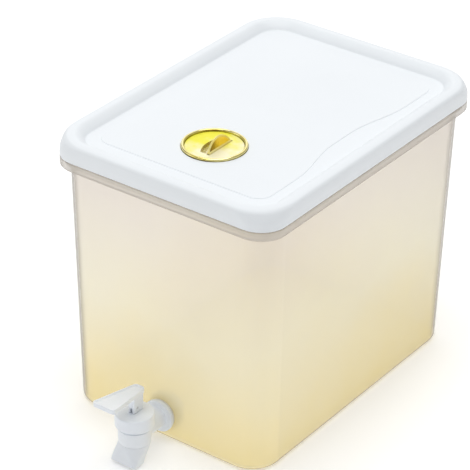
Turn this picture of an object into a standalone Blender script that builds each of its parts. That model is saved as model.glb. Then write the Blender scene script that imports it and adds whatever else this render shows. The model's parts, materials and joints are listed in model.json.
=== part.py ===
# Beverage dispenser with tap: a clear lidded tub, a white tap through its front wall, and a gold air vent in
# the lid. Metres, +Z up. The origin is the centre of the tub's flat underside, and the tap faces -Y.

import math

import bmesh
import bpy
from mathutils import Vector

# Fits and faceting shared by every piece
SEAT_GAP = 0.0003
SLIDE_GAP = 0.0004
CUT_OVERRUN = 0.002
WELD_DISTANCE = 0.000005
CORNER_STEPS = 7
ROUND_STEPS = 36
SMALL_STEPS = 20

# Tub
TUB_WIDTH = 0.188
TUB_LENGTH = 0.266
TUB_DRAFT = 0.00425
TUB_CORNER = 0.0246
TUB_WALL = 0.002
TUB_FLOOR = 0.0024
WALL_HEIGHT = 0.2067
FOOT_ROUND = 0.005
FOOT_STEPS = 4
LIP_REACH = 0.0047
LIP_HEIGHT = 0.0075
LIP_ROUND = 0.0018
RIM_WALL = 0.0016

# Lid: the rim's outline is shared out over its width, from the skirt to the panel, and over the lid's height
LID_OVERLAP = 0.0013
LID_CORNER = 0.0226
LID_WALL = 0.0018
LID_HEIGHT = 0.0135
LID_RIM_WIDTH = 0.017
LID_CORNER_FULLNESS = 0.0115
LID_RIM_SHARES = (
    (0.0, 0.03),
    (0.0, 0.27),
    (0.015, 0.47),
    (0.053, 0.575),
    (0.118, 0.65),
    (0.165, 0.73),
    (0.19, 0.825),
    (0.235, 0.925),
    (0.32, 0.985),
    (0.44, 1.0),
    (0.54, 0.985),
    (0.635, 0.92),
    (0.8, 0.70),
    (0.9, 0.595),
    (1.0, 0.556),
)

# Raised middle of the lid, whose long sides wave inwards
PANEL_RAISE = 0.0006
PANEL_EDGE = 0.0007
PANEL_SIDE_INSET = 0.0243
PANEL_END_INSET = 0.0267
PANEL_CORNER = 0.016
WAVE_DEPTH = 0.009
WAVE_FLAT = 0.012
WAVE_REACH = 0.070
WAVE_STEPS = 16

# Seal on the tub's rim
SEAL_THICKNESS = 0.0010
SEAL_OVERHANG = 0.0004

# Air vent, set into a round pocket of the lid
VENT_SIDE = 0.0
VENT_FORWARD = 0.067
VENT_RING_RADIUS = 0.0246
VENT_RING_WIDTH = 0.0023
VENT_RING_RISE = 0.0016
VENT_FACE_RISE = 0.0005
VENT_FACE_THICKNESS = 0.0009
VENT_POCKET_DEPTH = 0.0018
VENT_BOSS_MARGIN = 0.002
VENT_BOSS_DEPTH = 0.002
VENT_CUP_RADIUS = 0.0175
VENT_CUP_DEPTH = 0.009
VENT_CUP_WALL = 0.0016
VENT_NUT_HEIGHT = 0.004
VENT_NUT_RADIUS = 0.0228
WELL_DEPTH = 0.003
WELL_FLOOR = 0.0014
WELL_HALF_LENGTH = 0.0142
WELL_NEAR_HALF_LENGTH = 0.0138
WELL_REACH = 0.0024
WELL_BOW = 0.0044
WELL_BOW_STEPS = 6
BREATH_RADIUS = 0.0022

# Thumb tab, a round segment that turns on its straight edge and stands open at rest
TAB_HINGE_SIDE = 0.0043
TAB_HINGE_DEPTH = 0.0010
TAB_HALF_LENGTH = 0.0134
TAB_RISE = 0.0096
TAB_END_RISE = 0.0016
TAB_THICKNESS = 0.001
TAB_OPEN_DEGREES = 79.0
TAB_STEPS = 12
TAB_KNUCKLE_RADIUS = 0.0013
TAB_PIN_RADIUS = 0.0006
TAB_PIN_SEAT = 0.0012
PLUG_REACH = 0.0050
PLUG_RADIUS = 0.0018
PLUG_TIP_RADIUS = 0.0011
PLUG_LENGTH = 0.0015

# Tap housing, an upright cylinder on a barrel, with the shank that passes through the tub's wall
TAP_HEIGHT = 0.022
TAP_REACH = 0.0328
BARREL_RADIUS = 0.0082
FLANGE_RADIUS = 0.013
FLANGE_THICKNESS = 0.003
FLANGE_ROUND = 0.0008
SHANK_RADIUS = 0.0076
SHANK_BORE = 0.0041
SHANK_TAIL = 0.0032
HOUSING_RADIUS = 0.0127
HOUSING_FOOT = 0.0162
HOUSING_TAPER = 0.0004
HOUSING_TAPER_HEIGHT = 0.004
HOUSING_NECK_RADIUS = 0.0120
HOUSING_NECK_HEIGHT = 0.0074
CHAMBER_RADIUS = 0.0093
SEAT_THICKNESS = 0.0016
OUTLET_RADIUS = 0.0046
OUTLET_STUB_RADIUS = 0.0072
OUTLET_STUB_LENGTH = 0.0045

# Washers and nut on the shank
GASKET_THICKNESS = 0.002
OUTER_GASKET_RADIUS = 0.0123
INNER_GASKET_RADIUS = 0.0140
NUT_FLANGE_RADIUS = 0.0155
NUT_FLANGE_THICKNESS = 0.003
NUT_GRIP_RADIUS = 0.0128
NUT_LENGTH = 0.009
NUT_SIDES = 6

# Collar that closes the housing, and its seal
COLLAR_RADIUS = 0.015
COLLAR_TOP = 0.0022
COLLAR_ROUND = 0.0012
COLLAR_HEAD_ROOM = 0.0017
COLLAR_SEAL_THICKNESS = 0.0011

# Spout: from a round top to a flat sided mouth that lies further forward
SPOUT_WALL = 0.0018
MOUTH_HEIGHT = 0.0025
MOUTH_HALF_WIDTH = 0.0118
MOUTH_HALF_DEPTH = 0.0066
MOUTH_CORNER = 0.0026
MOUTH_FORWARD = 0.0086
SPOUT_SHARES = (0.0, 0.12, 0.35, 0.6, 0.8, 1.0)

# Valve: stem, plug and return spring
STEM_RADIUS = 0.0022
STEM_FLANGE_RADIUS = 0.0056
STEM_FLANGE_THICKNESS = 0.0014
STEM_SPIGOT_RADIUS = 0.0016
STEM_SPIGOT_LENGTH = 0.0020
STEM_HEAD = 0.0021
TANG_HALF_THICKNESS = 0.0011
PLUG_DISC_RADIUS = 0.0066
PLUG_DISC_THICKNESS = 0.0035
PLUG_CONE_LENGTH = 0.0022
PLUG_CONE_SHARE = 0.55
SPRING_RADIUS = 0.0042
SPRING_WIRE = 0.00045
SPRING_TURNS = 6
SPRING_TURN_POINTS = 12
SPRING_GAP = 0.0005

# Lever: a stalk on the stem's pin with a framed paddle
LEVER_PIN_RISE = 0.0039
LEVER_PIN_RADIUS = 0.0009
PIN_PLAY = 0.0002
STALK_WIDTH = 0.0057
STALK_BACK = 0.0075
STALK_FRONT = 0.0039
STALK_SLOT_ROOM = 0.0014
PADDLE_RISE = 0.0149
PADDLE_TIP_RISE = 0.0203
PADDLE_TIP_REACH = 0.0368
PADDLE_NEAR_WIDTH = 0.0090
PADDLE_TIP_WIDTH = 0.0210
PADDLE_THICKNESS = 0.0040
PADDLE_CORNER = 0.0012
PADDLE_FRAME = 0.0016
PADDLE_RECESS = 0.0008
PADDLE_SHARES = (0.0, 0.03, 0.97)

# Heights and places that follow from the sizes above
LIP_TOP = WALL_HEIGHT + LIP_HEIGHT
LID_EDGE = LIP_TOP + SEAT_GAP
LID_HALF_WIDTH = TUB_WIDTH / 2 + LIP_REACH + LID_OVERLAP
LID_HALF_LENGTH = TUB_LENGTH / 2 + LIP_REACH + LID_OVERLAP
RIM_INSET = LID_WALL + SLIDE_GAP
PANEL_TOP = LID_HEIGHT * LID_RIM_SHARES[-1][1] + PANEL_RAISE
COLLAR_FOOT = TAP_HEIGHT + BARREL_RADIUS + SEAT_GAP
HOUSING_SHOULDER = COLLAR_FOOT - SEAT_GAP
HOUSING_TOP = HOUSING_SHOULDER + HOUSING_NECK_HEIGHT
COLLAR_CEILING = HOUSING_TOP + COLLAR_HEAD_ROOM
COLLAR_HEAD = COLLAR_CEILING + COLLAR_TOP
CHAMBER_FLOOR = HOUSING_FOOT + SEAT_THICKNESS
LEVER_PIN_HEIGHT = COLLAR_HEAD + SEAT_GAP + LEVER_PIN_RISE


def clear_scene():
    for old in list(bpy.data.objects):
        bpy.data.objects.remove(old, do_unlink=True)


def new_collection(name):
    collection = bpy.data.collections.new(name)
    bpy.context.scene.collection.children.link(collection)
    return collection


clear_scene()
dispenser = new_collection("dispenser")
cutters = new_collection("cutters")


def finish(name, colour, roughness, metallic=0.0, alpha=1.0):
    material = bpy.data.materials.new(name)
    material.use_nodes = True
    shader = material.node_tree.nodes["Principled BSDF"]
    shader.inputs["Base Color"].default_value = (*colour, 1.0)
    shader.inputs["Roughness"].default_value = roughness
    shader.inputs["Metallic"].default_value = metallic
    shader.inputs["Alpha"].default_value = alpha
    material.diffuse_color = (*colour, alpha)
    return material


clear_plastic = finish("clear plastic", (0.86, 0.85, 0.80), 0.12, alpha=0.35)
white_lid = finish("white lid plastic", (0.90, 0.92, 0.94), 0.28)
white_tap = finish("white tap plastic", (0.86, 0.88, 0.90), 0.32)
gold = finish("gold plating", (0.95, 0.78, 0.22), 0.14, metallic=1.0)
silicone = finish("milky silicone", (0.80, 0.80, 0.78), 0.55, alpha=0.9)
steel = finish("spring steel", (0.60, 0.60, 0.60), 0.3, metallic=1.0)


def place(obj, material, parent=None, location=(0.0, 0.0, 0.0), turn=(0.0, 0.0, 0.0)):
    dispenser.objects.link(obj)
    obj.data.materials.append(material)
    obj.parent = parent
    obj.location = location
    obj.rotation_euler = turn
    return obj


def place_cutter(obj, parent=None, location=(0.0, 0.0, 0.0), turn=(0.0, 0.0, 0.0)):
    cutters.objects.link(obj)
    obj.hide_render = True
    obj.display_type = "WIRE"
    obj.parent = parent
    obj.location = location
    obj.rotation_euler = turn
    return obj


def axis_empty(name, location, parent=None):
    empty = bpy.data.objects.new(name, None)
    dispenser.objects.link(empty)
    empty.empty_display_size = TUB_CORNER
    empty.parent = parent
    empty.location = location
    return empty


def boolean(target, operation, other):
    modifier = target.modifiers.new(operation.title(), "BOOLEAN")
    modifier.operation = operation
    modifier.solver = "EXACT"
    modifier.object = other


def ring(half_x, half_y, radius, z, centre_y=0.0):
    # A rounded rectangle, anticlockwise seen from above. The radius is limited by the half sides.
    radius = min(radius, half_x, half_y)
    points = []
    for quarter, (side_x, side_y) in enumerate(((1, 1), (-1, 1), (-1, -1), (1, -1))):
        corner_x = side_x * (half_x - radius)
        corner_y = centre_y + side_y * (half_y - radius)
        for step in range(CORNER_STEPS + 1):
            angle = (quarter + step / CORNER_STEPS) * math.pi / 2
            points.append((corner_x + radius * math.cos(angle), corner_y + radius * math.sin(angle), z))
    return points


def loft(name, rings, closed=False):
    # Bridges rings of equal length. An open run gets a cap at each end, a closed one makes a hoop.
    mesh = bmesh.new()
    loops = [[mesh.verts.new(point) for point in points] for points in rings]
    following = loops[1:] + loops[:1] if closed else loops[1:]
    for lower, upper in zip(loops, following):
        for index, corner in enumerate(lower):
            after = (index + 1) % len(lower)
            mesh.faces.new((corner, lower[after], upper[after], upper[index]))
    if not closed:
        mesh.faces.new(reversed(loops[0]))
        mesh.faces.new(loops[-1])
    bmesh.ops.remove_doubles(mesh, verts=mesh.verts, dist=WELD_DISTANCE)
    bmesh.ops.recalc_face_normals(mesh, faces=mesh.faces)
    data = bpy.data.meshes.new(name)
    mesh.to_mesh(data)
    mesh.free()
    data.shade_smooth()
    data.set_sharp_from_angle(angle=math.radians(35))
    return bpy.data.objects.new(name, data)


def turned(name, profile, steps, closed=False):
    # A profile of (radius, height) points, down its outer side, turned about Z.
    data = bpy.data.meshes.new(name)
    points = [(radius, 0.0, height) for radius, height in profile]
    edges = [(index, index + 1) for index in range(len(points) - 1)]
    if closed:
        edges.append((len(points) - 1, 0))
    data.from_pydata(points, edges, [])
    obj = bpy.data.objects.new(name, data)
    screw = obj.modifiers.new("Turn", "SCREW")
    screw.axis = "Z"
    screw.steps = steps
    screw.render_steps = steps
    screw.use_merge_vertices = True
    screw.merge_threshold = WELD_DISTANCE
    screw.use_smooth_shade = True
    return obj


def hoop(name, inner, outer, bottom, top, steps):
    profile = ((outer, top), (outer, bottom), (inner, bottom), (inner, top))
    return turned(name, profile, steps, closed=True)


def rod(name, radius, bottom, top, steps):
    return turned(name, ((0.0, top), (radius, top), (radius, bottom), (0.0, bottom)), steps)


def block(name, low, high, bevel=0.0):
    mesh = bmesh.new()
    bmesh.ops.create_cube(mesh, size=1.0)
    size = Vector(high) - Vector(low)
    middle = (Vector(high) + Vector(low)) / 2
    bmesh.ops.scale(mesh, vec=size, verts=mesh.verts)
    bmesh.ops.translate(mesh, vec=middle, verts=mesh.verts)
    if bevel:
        bmesh.ops.bevel(mesh, geom=mesh.edges[:], offset=bevel, segments=2, affect="EDGES", profile=0.5)
    data = bpy.data.meshes.new(name)
    mesh.to_mesh(data)
    mesh.free()
    return bpy.data.objects.new(name, data)


def wall_half_sizes(z):
    # Half width and half length of the tub's outside at a height: the walls lean in towards the foot.
    lean = TUB_DRAFT * (1 - z / WALL_HEIGHT)
    return TUB_WIDTH / 2 - lean, TUB_LENGTH / 2 - lean


def front_face(z):
    # Y of the tub's front wall, outside, at a height
    return -wall_half_sizes(z)[1]


def wall_ring(z, outset, corner):
    half_x, half_y = wall_half_sizes(z)
    return ring(half_x + outset, half_y + outset, corner, z)


def corner_growth(skirt_inset):
    # The lid's corners grow fuller towards the panel, so its rim is widest at the corners.
    share = min(max(skirt_inset / LID_RIM_WIDTH, 0.0), 1.0)
    return LID_CORNER_FULLNESS * (1 - (1 - share) ** 2)


def lip_ring(inset, z, growth=0.0):
    # Rings of the lip and rim follow the lid's skirt, inset from it.
    return ring(LID_HALF_WIDTH - inset, LID_HALF_LENGTH - inset, LID_CORNER - inset + growth, z)


def lid_ring(inset, z, skirt_inset):
    return lip_ring(inset, z, corner_growth(skirt_inset))


def lid_rim_outline():
    return [Vector((across * LID_RIM_WIDTH, up * LID_HEIGHT)) for across, up in LID_RIM_SHARES]


def lid_rim_underside():
    # The rim's outline moved in by the wall, square to its own run
    outline = lid_rim_outline()
    moved = []
    for index, point in enumerate(outline):
        run = outline[min(index + 1, len(outline) - 1)] - outline[max(index - 1, 0)]
        run.normalize()
        moved.append(point + Vector((run.y, -run.x)) * LID_WALL)
    moved[0] = Vector((LID_WALL, 0.0))
    return moved


def underside_height(inset):
    # Height of the lid's underside above its edge, just inside the skirt
    points = lid_rim_underside()
    for lower, upper in zip(points, points[1:]):
        if lower.x <= inset <= upper.x:
            return lower.y + (upper.y - lower.y) * (inset - lower.x) / (upper.x - lower.x)
    return points[0].y


SEAL_HEAD = LID_EDGE + underside_height(RIM_INSET) - SEAT_GAP
SEAL_FOOT = SEAL_HEAD - SEAL_THICKNESS
RIM_TOP = SEAL_FOOT - SEAT_GAP
RIM_GROWTH = corner_growth(RIM_INSET)


def make_tub():
    rings = []
    for step in range(FOOT_STEPS + 1):
        angle = step / FOOT_STEPS * math.pi / 2
        inset = FOOT_ROUND * (1 - math.sin(angle))
        rings.append(wall_ring(FOOT_ROUND * (1 - math.cos(angle)), -inset, TUB_CORNER - inset))
    rings.append(wall_ring(WALL_HEIGHT, 0.0, TUB_CORNER))
    rings.append(lip_ring(LID_OVERLAP + LIP_ROUND, WALL_HEIGHT))
    rings.append(lip_ring(LID_OVERLAP + LIP_ROUND / 3, WALL_HEIGHT + LIP_ROUND / 3))
    rings.append(lip_ring(LID_OVERLAP, WALL_HEIGHT + LIP_ROUND))
    rings.append(lip_ring(LID_OVERLAP, LIP_TOP))
    rings.append(lip_ring(RIM_INSET, LIP_TOP, RIM_GROWTH))
    rings.append(lip_ring(RIM_INSET, RIM_TOP, RIM_GROWTH))
    rings.append(lip_ring(RIM_INSET + RIM_WALL, RIM_TOP, RIM_GROWTH))
    rings.append(lip_ring(RIM_INSET + RIM_WALL, WALL_HEIGHT + TUB_WALL, RIM_GROWTH))
    rings.append(wall_ring(WALL_HEIGHT, -TUB_WALL, TUB_CORNER - TUB_WALL))
    inner_round = FOOT_ROUND - TUB_WALL
    for step in range(FOOT_STEPS + 1):
        angle = (1 - step / FOOT_STEPS) * math.pi / 2
        inset = TUB_WALL + inner_round * (1 - math.sin(angle))
        z = TUB_FLOOR + inner_round * (1 - math.cos(angle))
        rings.append(wall_ring(z, -inset, TUB_CORNER - inset))
    tub = place(loft("tub", rings), clear_plastic)
    hole_length = TAP_REACH + NUT_LENGTH
    hole = rod("tub_hole_cutter", SHANK_RADIUS + SLIDE_GAP, -hole_length, hole_length, ROUND_STEPS)
    place_cutter(hole, location=(0.0, front_face(TAP_HEIGHT), TAP_HEIGHT), turn=(math.pi / 2, 0.0, 0.0))
    boolean(tub, "DIFFERENCE", hole)


def wave_depth(y):
    share = (WAVE_REACH - abs(y)) / (WAVE_REACH - WAVE_FLAT)
    share = min(max(share, 0.0), 1.0)
    return WAVE_DEPTH * share * share * (3 - 2 * share)


def panel_ring(z, inset):
    # The raised middle: a rounded rectangle with points added down both long sides for the wave
    half_x = LID_HALF_WIDTH - PANEL_SIDE_INSET - inset
    half_y = LID_HALF_LENGTH - PANEL_END_INSET - inset
    corners = ring(half_x, half_y, PANEL_CORNER - inset, z)
    quarter = CORNER_STEPS + 1
    straight = half_y - PANEL_CORNER + inset
    rows = [straight * (1 - 2 * step / WAVE_STEPS) for step in range(1, WAVE_STEPS)]
    left = [(-half_x + wave_depth(y), y, z) for y in rows]
    right = [(half_x - wave_depth(y), -y, z) for y in rows]
    return corners[: 2 * quarter] + left + corners[2 * quarter :] + right


def make_lid(seat):
    outline = lid_rim_outline()
    under = lid_rim_underside()
    rings = []
    for outer, inner in reversed(list(zip(outline, under))):
        rings.append(lid_ring(inner.x, inner.y, outer.x))
    for outer in outline:
        rings.append(lid_ring(outer.x, outer.y, outer.x))
    lid = place(loft("lid", rings), white_lid, seat)

    foot = PANEL_TOP - PANEL_RAISE - LID_WALL / 2
    raised = loft("lid_panel_form", [panel_ring(foot, 0.0), panel_ring(PANEL_TOP - PANEL_RAISE, 0.0),
                                     panel_ring(PANEL_TOP, PANEL_EDGE)])
    boolean(lid, "UNION", place_cutter(raised, seat))

    vent_place = (VENT_SIDE, -VENT_FORWARD, PANEL_TOP)
    boss_radius = VENT_RING_RADIUS + SLIDE_GAP + VENT_BOSS_MARGIN
    boss_foot = -VENT_POCKET_DEPTH - VENT_BOSS_DEPTH
    boss = rod("vent_boss_form", boss_radius, boss_foot, -PANEL_RAISE - LID_WALL / 2, ROUND_STEPS)
    boolean(lid, "UNION", place_cutter(boss, seat, vent_place))
    pocket_radius = VENT_RING_RADIUS + SLIDE_GAP
    pocket = rod("vent_pocket_cutter", pocket_radius, -VENT_POCKET_DEPTH, CUT_OVERRUN, ROUND_STEPS)
    boolean(lid, "DIFFERENCE", place_cutter(pocket, seat, vent_place))
    hole_radius = VENT_CUP_RADIUS + SLIDE_GAP
    hole = rod("vent_hole_cutter", hole_radius, boss_foot - CUT_OVERRUN, CUT_OVERRUN, ROUND_STEPS)
    boolean(lid, "DIFFERENCE", place_cutter(hole, seat, vent_place))


def make_lid_seal():
    inner = RIM_INSET + RIM_WALL + SEAL_OVERHANG
    rings = [lip_ring(RIM_INSET, SEAL_FOOT, RIM_GROWTH), lip_ring(RIM_INSET, SEAL_HEAD, RIM_GROWTH),
             lip_ring(inner, SEAL_HEAD, RIM_GROWTH), lip_ring(inner, SEAL_FOOT, RIM_GROWTH)]
    place(loft("lid_seal", rings, closed=True), silicone)


def make_vent_ring(vent):
    inner = VENT_RING_RADIUS - VENT_RING_WIDTH
    foot = SEAT_GAP - VENT_POCKET_DEPTH
    bead = VENT_RING_WIDTH / 2
    profile = [(VENT_RING_RADIUS - bead + bead * math.sin(angle),
                VENT_RING_RISE - bead + bead * math.cos(angle))
               for angle in (math.pi / 2 * step / 4 for step in range(-4, 5))]
    profile.append((VENT_RING_RADIUS, foot))
    profile.append((inner, foot))
    place(turned("vent_bezel", profile, ROUND_STEPS, closed=True), gold, vent)


def well_outline(z):
    # The thumb recess: longest beside the hinge, and bowed out on the other side
    hinge_room = TAB_KNUCKLE_RADIUS + SLIDE_GAP
    right = TAB_HINGE_SIDE + hinge_room
    step_in = TAB_HINGE_SIDE - hinge_room
    points = [(right, -WELL_HALF_LENGTH, z), (right, WELL_HALF_LENGTH, z), (step_in, WELL_HALF_LENGTH, z),
              (step_in, WELL_NEAR_HALF_LENGTH, z)]
    for step in range(WELL_BOW_STEPS + 1):
        share = 1 - 2 * step / WELL_BOW_STEPS
        points.append((-WELL_REACH - WELL_BOW * (1 - share * share), WELL_NEAR_HALF_LENGTH * share, z))
    points.append((step_in, -WELL_NEAR_HALF_LENGTH, z))
    points.append((step_in, -WELL_HALF_LENGTH, z))
    return points


def make_vent_body(vent):
    face_foot = VENT_FACE_RISE - VENT_FACE_THICKNESS
    face_radius = VENT_RING_RADIUS - VENT_RING_WIDTH - SEAT_GAP
    cup_foot = face_foot - VENT_CUP_DEPTH
    profile = ((0.0, VENT_FACE_RISE), (face_radius, VENT_FACE_RISE), (face_radius, face_foot),
               (VENT_CUP_RADIUS, face_foot), (VENT_CUP_RADIUS, cup_foot), (0.0, cup_foot))
    body = place(turned("vent_body", profile, ROUND_STEPS), gold, vent)
    well_floor = VENT_FACE_RISE - WELL_DEPTH
    well = loft("vent_well_cutter", [well_outline(well_floor), well_outline(VENT_FACE_RISE + CUT_OVERRUN)])
    boolean(body, "DIFFERENCE", place_cutter(well, vent))
    hollow = rod("vent_hollow_cutter", VENT_CUP_RADIUS - VENT_CUP_WALL, cup_foot - CUT_OVERRUN,
                 well_floor - WELL_FLOOR, ROUND_STEPS)
    boolean(body, "DIFFERENCE", place_cutter(hollow, vent))
    breath = rod("vent_breath_cutter", BREATH_RADIUS, cup_foot - CUT_OVERRUN, 0.0, SMALL_STEPS)
    plug_side = TAB_HINGE_SIDE - PLUG_REACH
    boolean(body, "DIFFERENCE", place_cutter(breath, vent, (plug_side, 0.0, 0.0)))
    half = WELL_HALF_LENGTH + TAB_PIN_SEAT + SEAT_GAP
    seat = rod("vent_pin_cutter", TAB_PIN_RADIUS + PIN_PLAY, -half, half, SMALL_STEPS)
    hinge = (TAB_HINGE_SIDE, 0.0, VENT_FACE_RISE - TAB_HINGE_DEPTH)
    boolean(body, "DIFFERENCE", place_cutter(seat, vent, hinge, (math.pi / 2, 0.0, 0.0)))


def make_vent_fixings(vent):
    pocket_floor = -VENT_POCKET_DEPTH
    face_foot = VENT_FACE_RISE - VENT_FACE_THICKNESS
    hoop_inner = VENT_CUP_RADIUS + SLIDE_GAP
    gasket_outer = VENT_RING_RADIUS - VENT_RING_WIDTH - SEAT_GAP
    gasket = hoop("vent_gasket", hoop_inner, gasket_outer, pocket_floor + SEAT_GAP, face_foot - SEAT_GAP,
                  ROUND_STEPS)
    place(gasket, silicone, vent)
    nut_top = pocket_floor - VENT_BOSS_DEPTH - SEAT_GAP
    nut = hoop("vent_nut", hoop_inner, VENT_NUT_RADIUS, nut_top - VENT_NUT_HEIGHT, nut_top, NUT_SIDES * 4)
    place(nut, white_tap, vent)
    pin_half = WELL_HALF_LENGTH + TAB_PIN_SEAT
    pin = rod("vent_tab_pin", TAB_PIN_RADIUS, -pin_half, pin_half, SMALL_STEPS)
    place(pin, steel, vent, (TAB_HINGE_SIDE, 0.0, VENT_FACE_RISE - TAB_HINGE_DEPTH), (math.pi / 2, 0.0, 0.0))


def make_vent_tab(tab_axis):
    # Flat in its own frame: the hinge is the Y axis and the round edge points to -X, as when it is shut.
    bow = TAB_RISE - TAB_END_RISE
    radius = (TAB_HALF_LENGTH ** 2 + bow ** 2) / (2 * bow)
    half_angle = math.asin(TAB_HALF_LENGTH / radius)
    foot = -TAB_THICKNESS / 2
    head = TAB_THICKNESS / 2
    edge = [(0.0, -TAB_HALF_LENGTH), (0.0, TAB_HALF_LENGTH)]
    for step in range(TAB_STEPS + 1):
        angle = half_angle * (1 - 2 * step / TAB_STEPS)
        edge.append((radius - TAB_RISE - radius * math.cos(angle), radius * math.sin(angle)))
    tab = place(loft("vent_tab", [[(x, y, z) for x, y in edge] for z in (foot, head)]), gold, tab_axis)
    knuckle = rod("tab_knuckle_form", TAB_KNUCKLE_RADIUS, -TAB_HALF_LENGTH, TAB_HALF_LENGTH, SMALL_STEPS)
    boolean(tab, "UNION", place_cutter(knuckle, tab_axis, turn=(math.pi / 2, 0.0, 0.0)))
    bore = rod("tab_bore_cutter", TAB_PIN_RADIUS + PIN_PLAY, -TAB_HALF_LENGTH - CUT_OVERRUN,
               TAB_HALF_LENGTH + CUT_OVERRUN, SMALL_STEPS)
    boolean(tab, "DIFFERENCE", place_cutter(bore, tab_axis, turn=(math.pi / 2, 0.0, 0.0)))
    plug_top = foot - SEAT_GAP
    profile = ((0.0, plug_top), (PLUG_RADIUS, plug_top), (PLUG_TIP_RADIUS, plug_top - PLUG_LENGTH),
               (0.0, plug_top - PLUG_LENGTH))
    place(turned("vent_plug", profile, SMALL_STEPS), silicone, tab_axis, (-PLUG_REACH, 0.0, 0.0))


def washer(name, inner, outer, front, back):
    # A ring round the shank. Each face is a function of height, so one side can follow the leaning wall.
    def circle(radius, face):
        points = []
        for step in range(ROUND_STEPS):
            angle = 2 * math.pi * step / ROUND_STEPS
            z = TAP_HEIGHT + radius * math.sin(angle)
            points.append((radius * math.cos(angle), face(z), z))
        return points

    rings = [circle(outer, front), circle(outer, back), circle(inner, back), circle(inner, front)]
    return loft(name, rings, closed=True)


def gasket_front(z):
    return front_face(TAP_HEIGHT) - GASKET_THICKNESS


def gasket_back(z):
    return front_face(TAP_HEIGHT) + TUB_WALL + GASKET_THICKNESS


def make_tap_washers():
    inner = SHANK_RADIUS + SLIDE_GAP
    outside = washer("tap_outer_gasket", inner, OUTER_GASKET_RADIUS, gasket_front,
                     lambda z: front_face(z) - SEAT_GAP)
    place(outside, silicone)
    inside = washer("tap_inner_gasket", inner, INNER_GASKET_RADIUS,
                    lambda z: front_face(z) + TUB_WALL + SEAT_GAP, gasket_back)
    place(inside, silicone)


def shank_frame():
    # Distances along the shank from the tap's upright axis, towards the tub
    flange_back = TAP_REACH - GASKET_THICKNESS - SEAT_GAP
    nut_front = TAP_REACH + TUB_WALL + GASKET_THICKNESS + SEAT_GAP
    return flange_back, nut_front


def make_tap_body(tap):
    neck_foot = HOUSING_SHOULDER
    stub_foot = HOUSING_FOOT - OUTLET_STUB_LENGTH
    profile = ((0.0, HOUSING_TOP), (HOUSING_NECK_RADIUS, HOUSING_TOP), (HOUSING_NECK_RADIUS, neck_foot),
               (HOUSING_RADIUS, neck_foot), (HOUSING_RADIUS, HOUSING_FOOT + HOUSING_TAPER_HEIGHT),
               (HOUSING_RADIUS - HOUSING_TAPER, HOUSING_FOOT), (0.0, HOUSING_FOOT))
    body = place(turned("tap_body", profile, ROUND_STEPS), white_tap, tap)
    flange_back, nut_front = shank_frame()
    flange_front = flange_back - FLANGE_THICKNESS
    tail = nut_front + NUT_LENGTH + SHANK_TAIL
    # Local +Z of the shank runs from the tub to the upright axis.
    shank_profile = ((0.0, 0.0), (BARREL_RADIUS, 0.0), (BARREL_RADIUS, -flange_front),
                     (FLANGE_RADIUS - FLANGE_ROUND, -flange_front),
                     (FLANGE_RADIUS, -flange_front - FLANGE_ROUND), (FLANGE_RADIUS, -flange_back),
                     (SHANK_RADIUS, -flange_back), (SHANK_RADIUS, -tail), (0.0, -tail))
    along = (math.pi / 2, 0.0, 0.0)
    shank = turned("tap_shank_form", shank_profile, ROUND_STEPS)
    boolean(body, "UNION", place_cutter(shank, tap, (0.0, 0.0, TAP_HEIGHT), along))
    # The barrel clears the spout's round top, then the outlet's stub goes down into it.
    clearance = rod("tap_spout_clearance", HOUSING_RADIUS + SEAT_GAP, stub_foot - CUT_OVERRUN, HOUSING_FOOT,
                    ROUND_STEPS)
    boolean(body, "DIFFERENCE", place_cutter(clearance, tap))
    stub_top = CHAMBER_FLOOR - SEAT_THICKNESS / 3
    stub = rod("tap_stub_form", OUTLET_STUB_RADIUS, stub_foot, stub_top, ROUND_STEPS)
    boolean(body, "UNION", place_cutter(stub, tap))
    chamber = rod("tap_chamber_cutter", CHAMBER_RADIUS, CHAMBER_FLOOR, HOUSING_TOP + CUT_OVERRUN, ROUND_STEPS)
    boolean(body, "DIFFERENCE", place_cutter(chamber, tap))
    bore_end = -CHAMBER_RADIUS + CUT_OVERRUN
    bore = rod("tap_bore_cutter", SHANK_BORE, -tail - CUT_OVERRUN, bore_end, SMALL_STEPS)
    boolean(body, "DIFFERENCE", place_cutter(bore, tap, (0.0, 0.0, TAP_HEIGHT), along))
    outlet = rod("tap_outlet_cutter", OUTLET_RADIUS, stub_foot - CUT_OVERRUN, CHAMBER_FLOOR + CUT_OVERRUN,
                 SMALL_STEPS)
    boolean(body, "DIFFERENCE", place_cutter(outlet, tap))


def make_tap_nut(tap):
    flange_back, nut_front = shank_frame()
    nut_back = nut_front + NUT_LENGTH
    along = (math.pi / 2, 0.0, 0.0)
    centre = (0.0, 0.0, TAP_HEIGHT)
    flange = rod("tap_nut", NUT_FLANGE_RADIUS, -nut_front - NUT_FLANGE_THICKNESS, -nut_front, ROUND_STEPS)
    place(flange, white_tap, tap, centre, along)
    grip_front = nut_front + NUT_FLANGE_THICKNESS / 2
    grip = rod("tap_nut_grip_form", NUT_GRIP_RADIUS, -nut_back, -grip_front, NUT_SIDES)
    boolean(flange, "UNION", place_cutter(grip, tap, centre, along))
    bore = rod("tap_nut_bore_cutter", SHANK_RADIUS + SLIDE_GAP, -nut_back - CUT_OVERRUN,
               -nut_front + CUT_OVERRUN, ROUND_STEPS)
    boolean(flange, "DIFFERENCE", place_cutter(bore, tap, centre, along))


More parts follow.
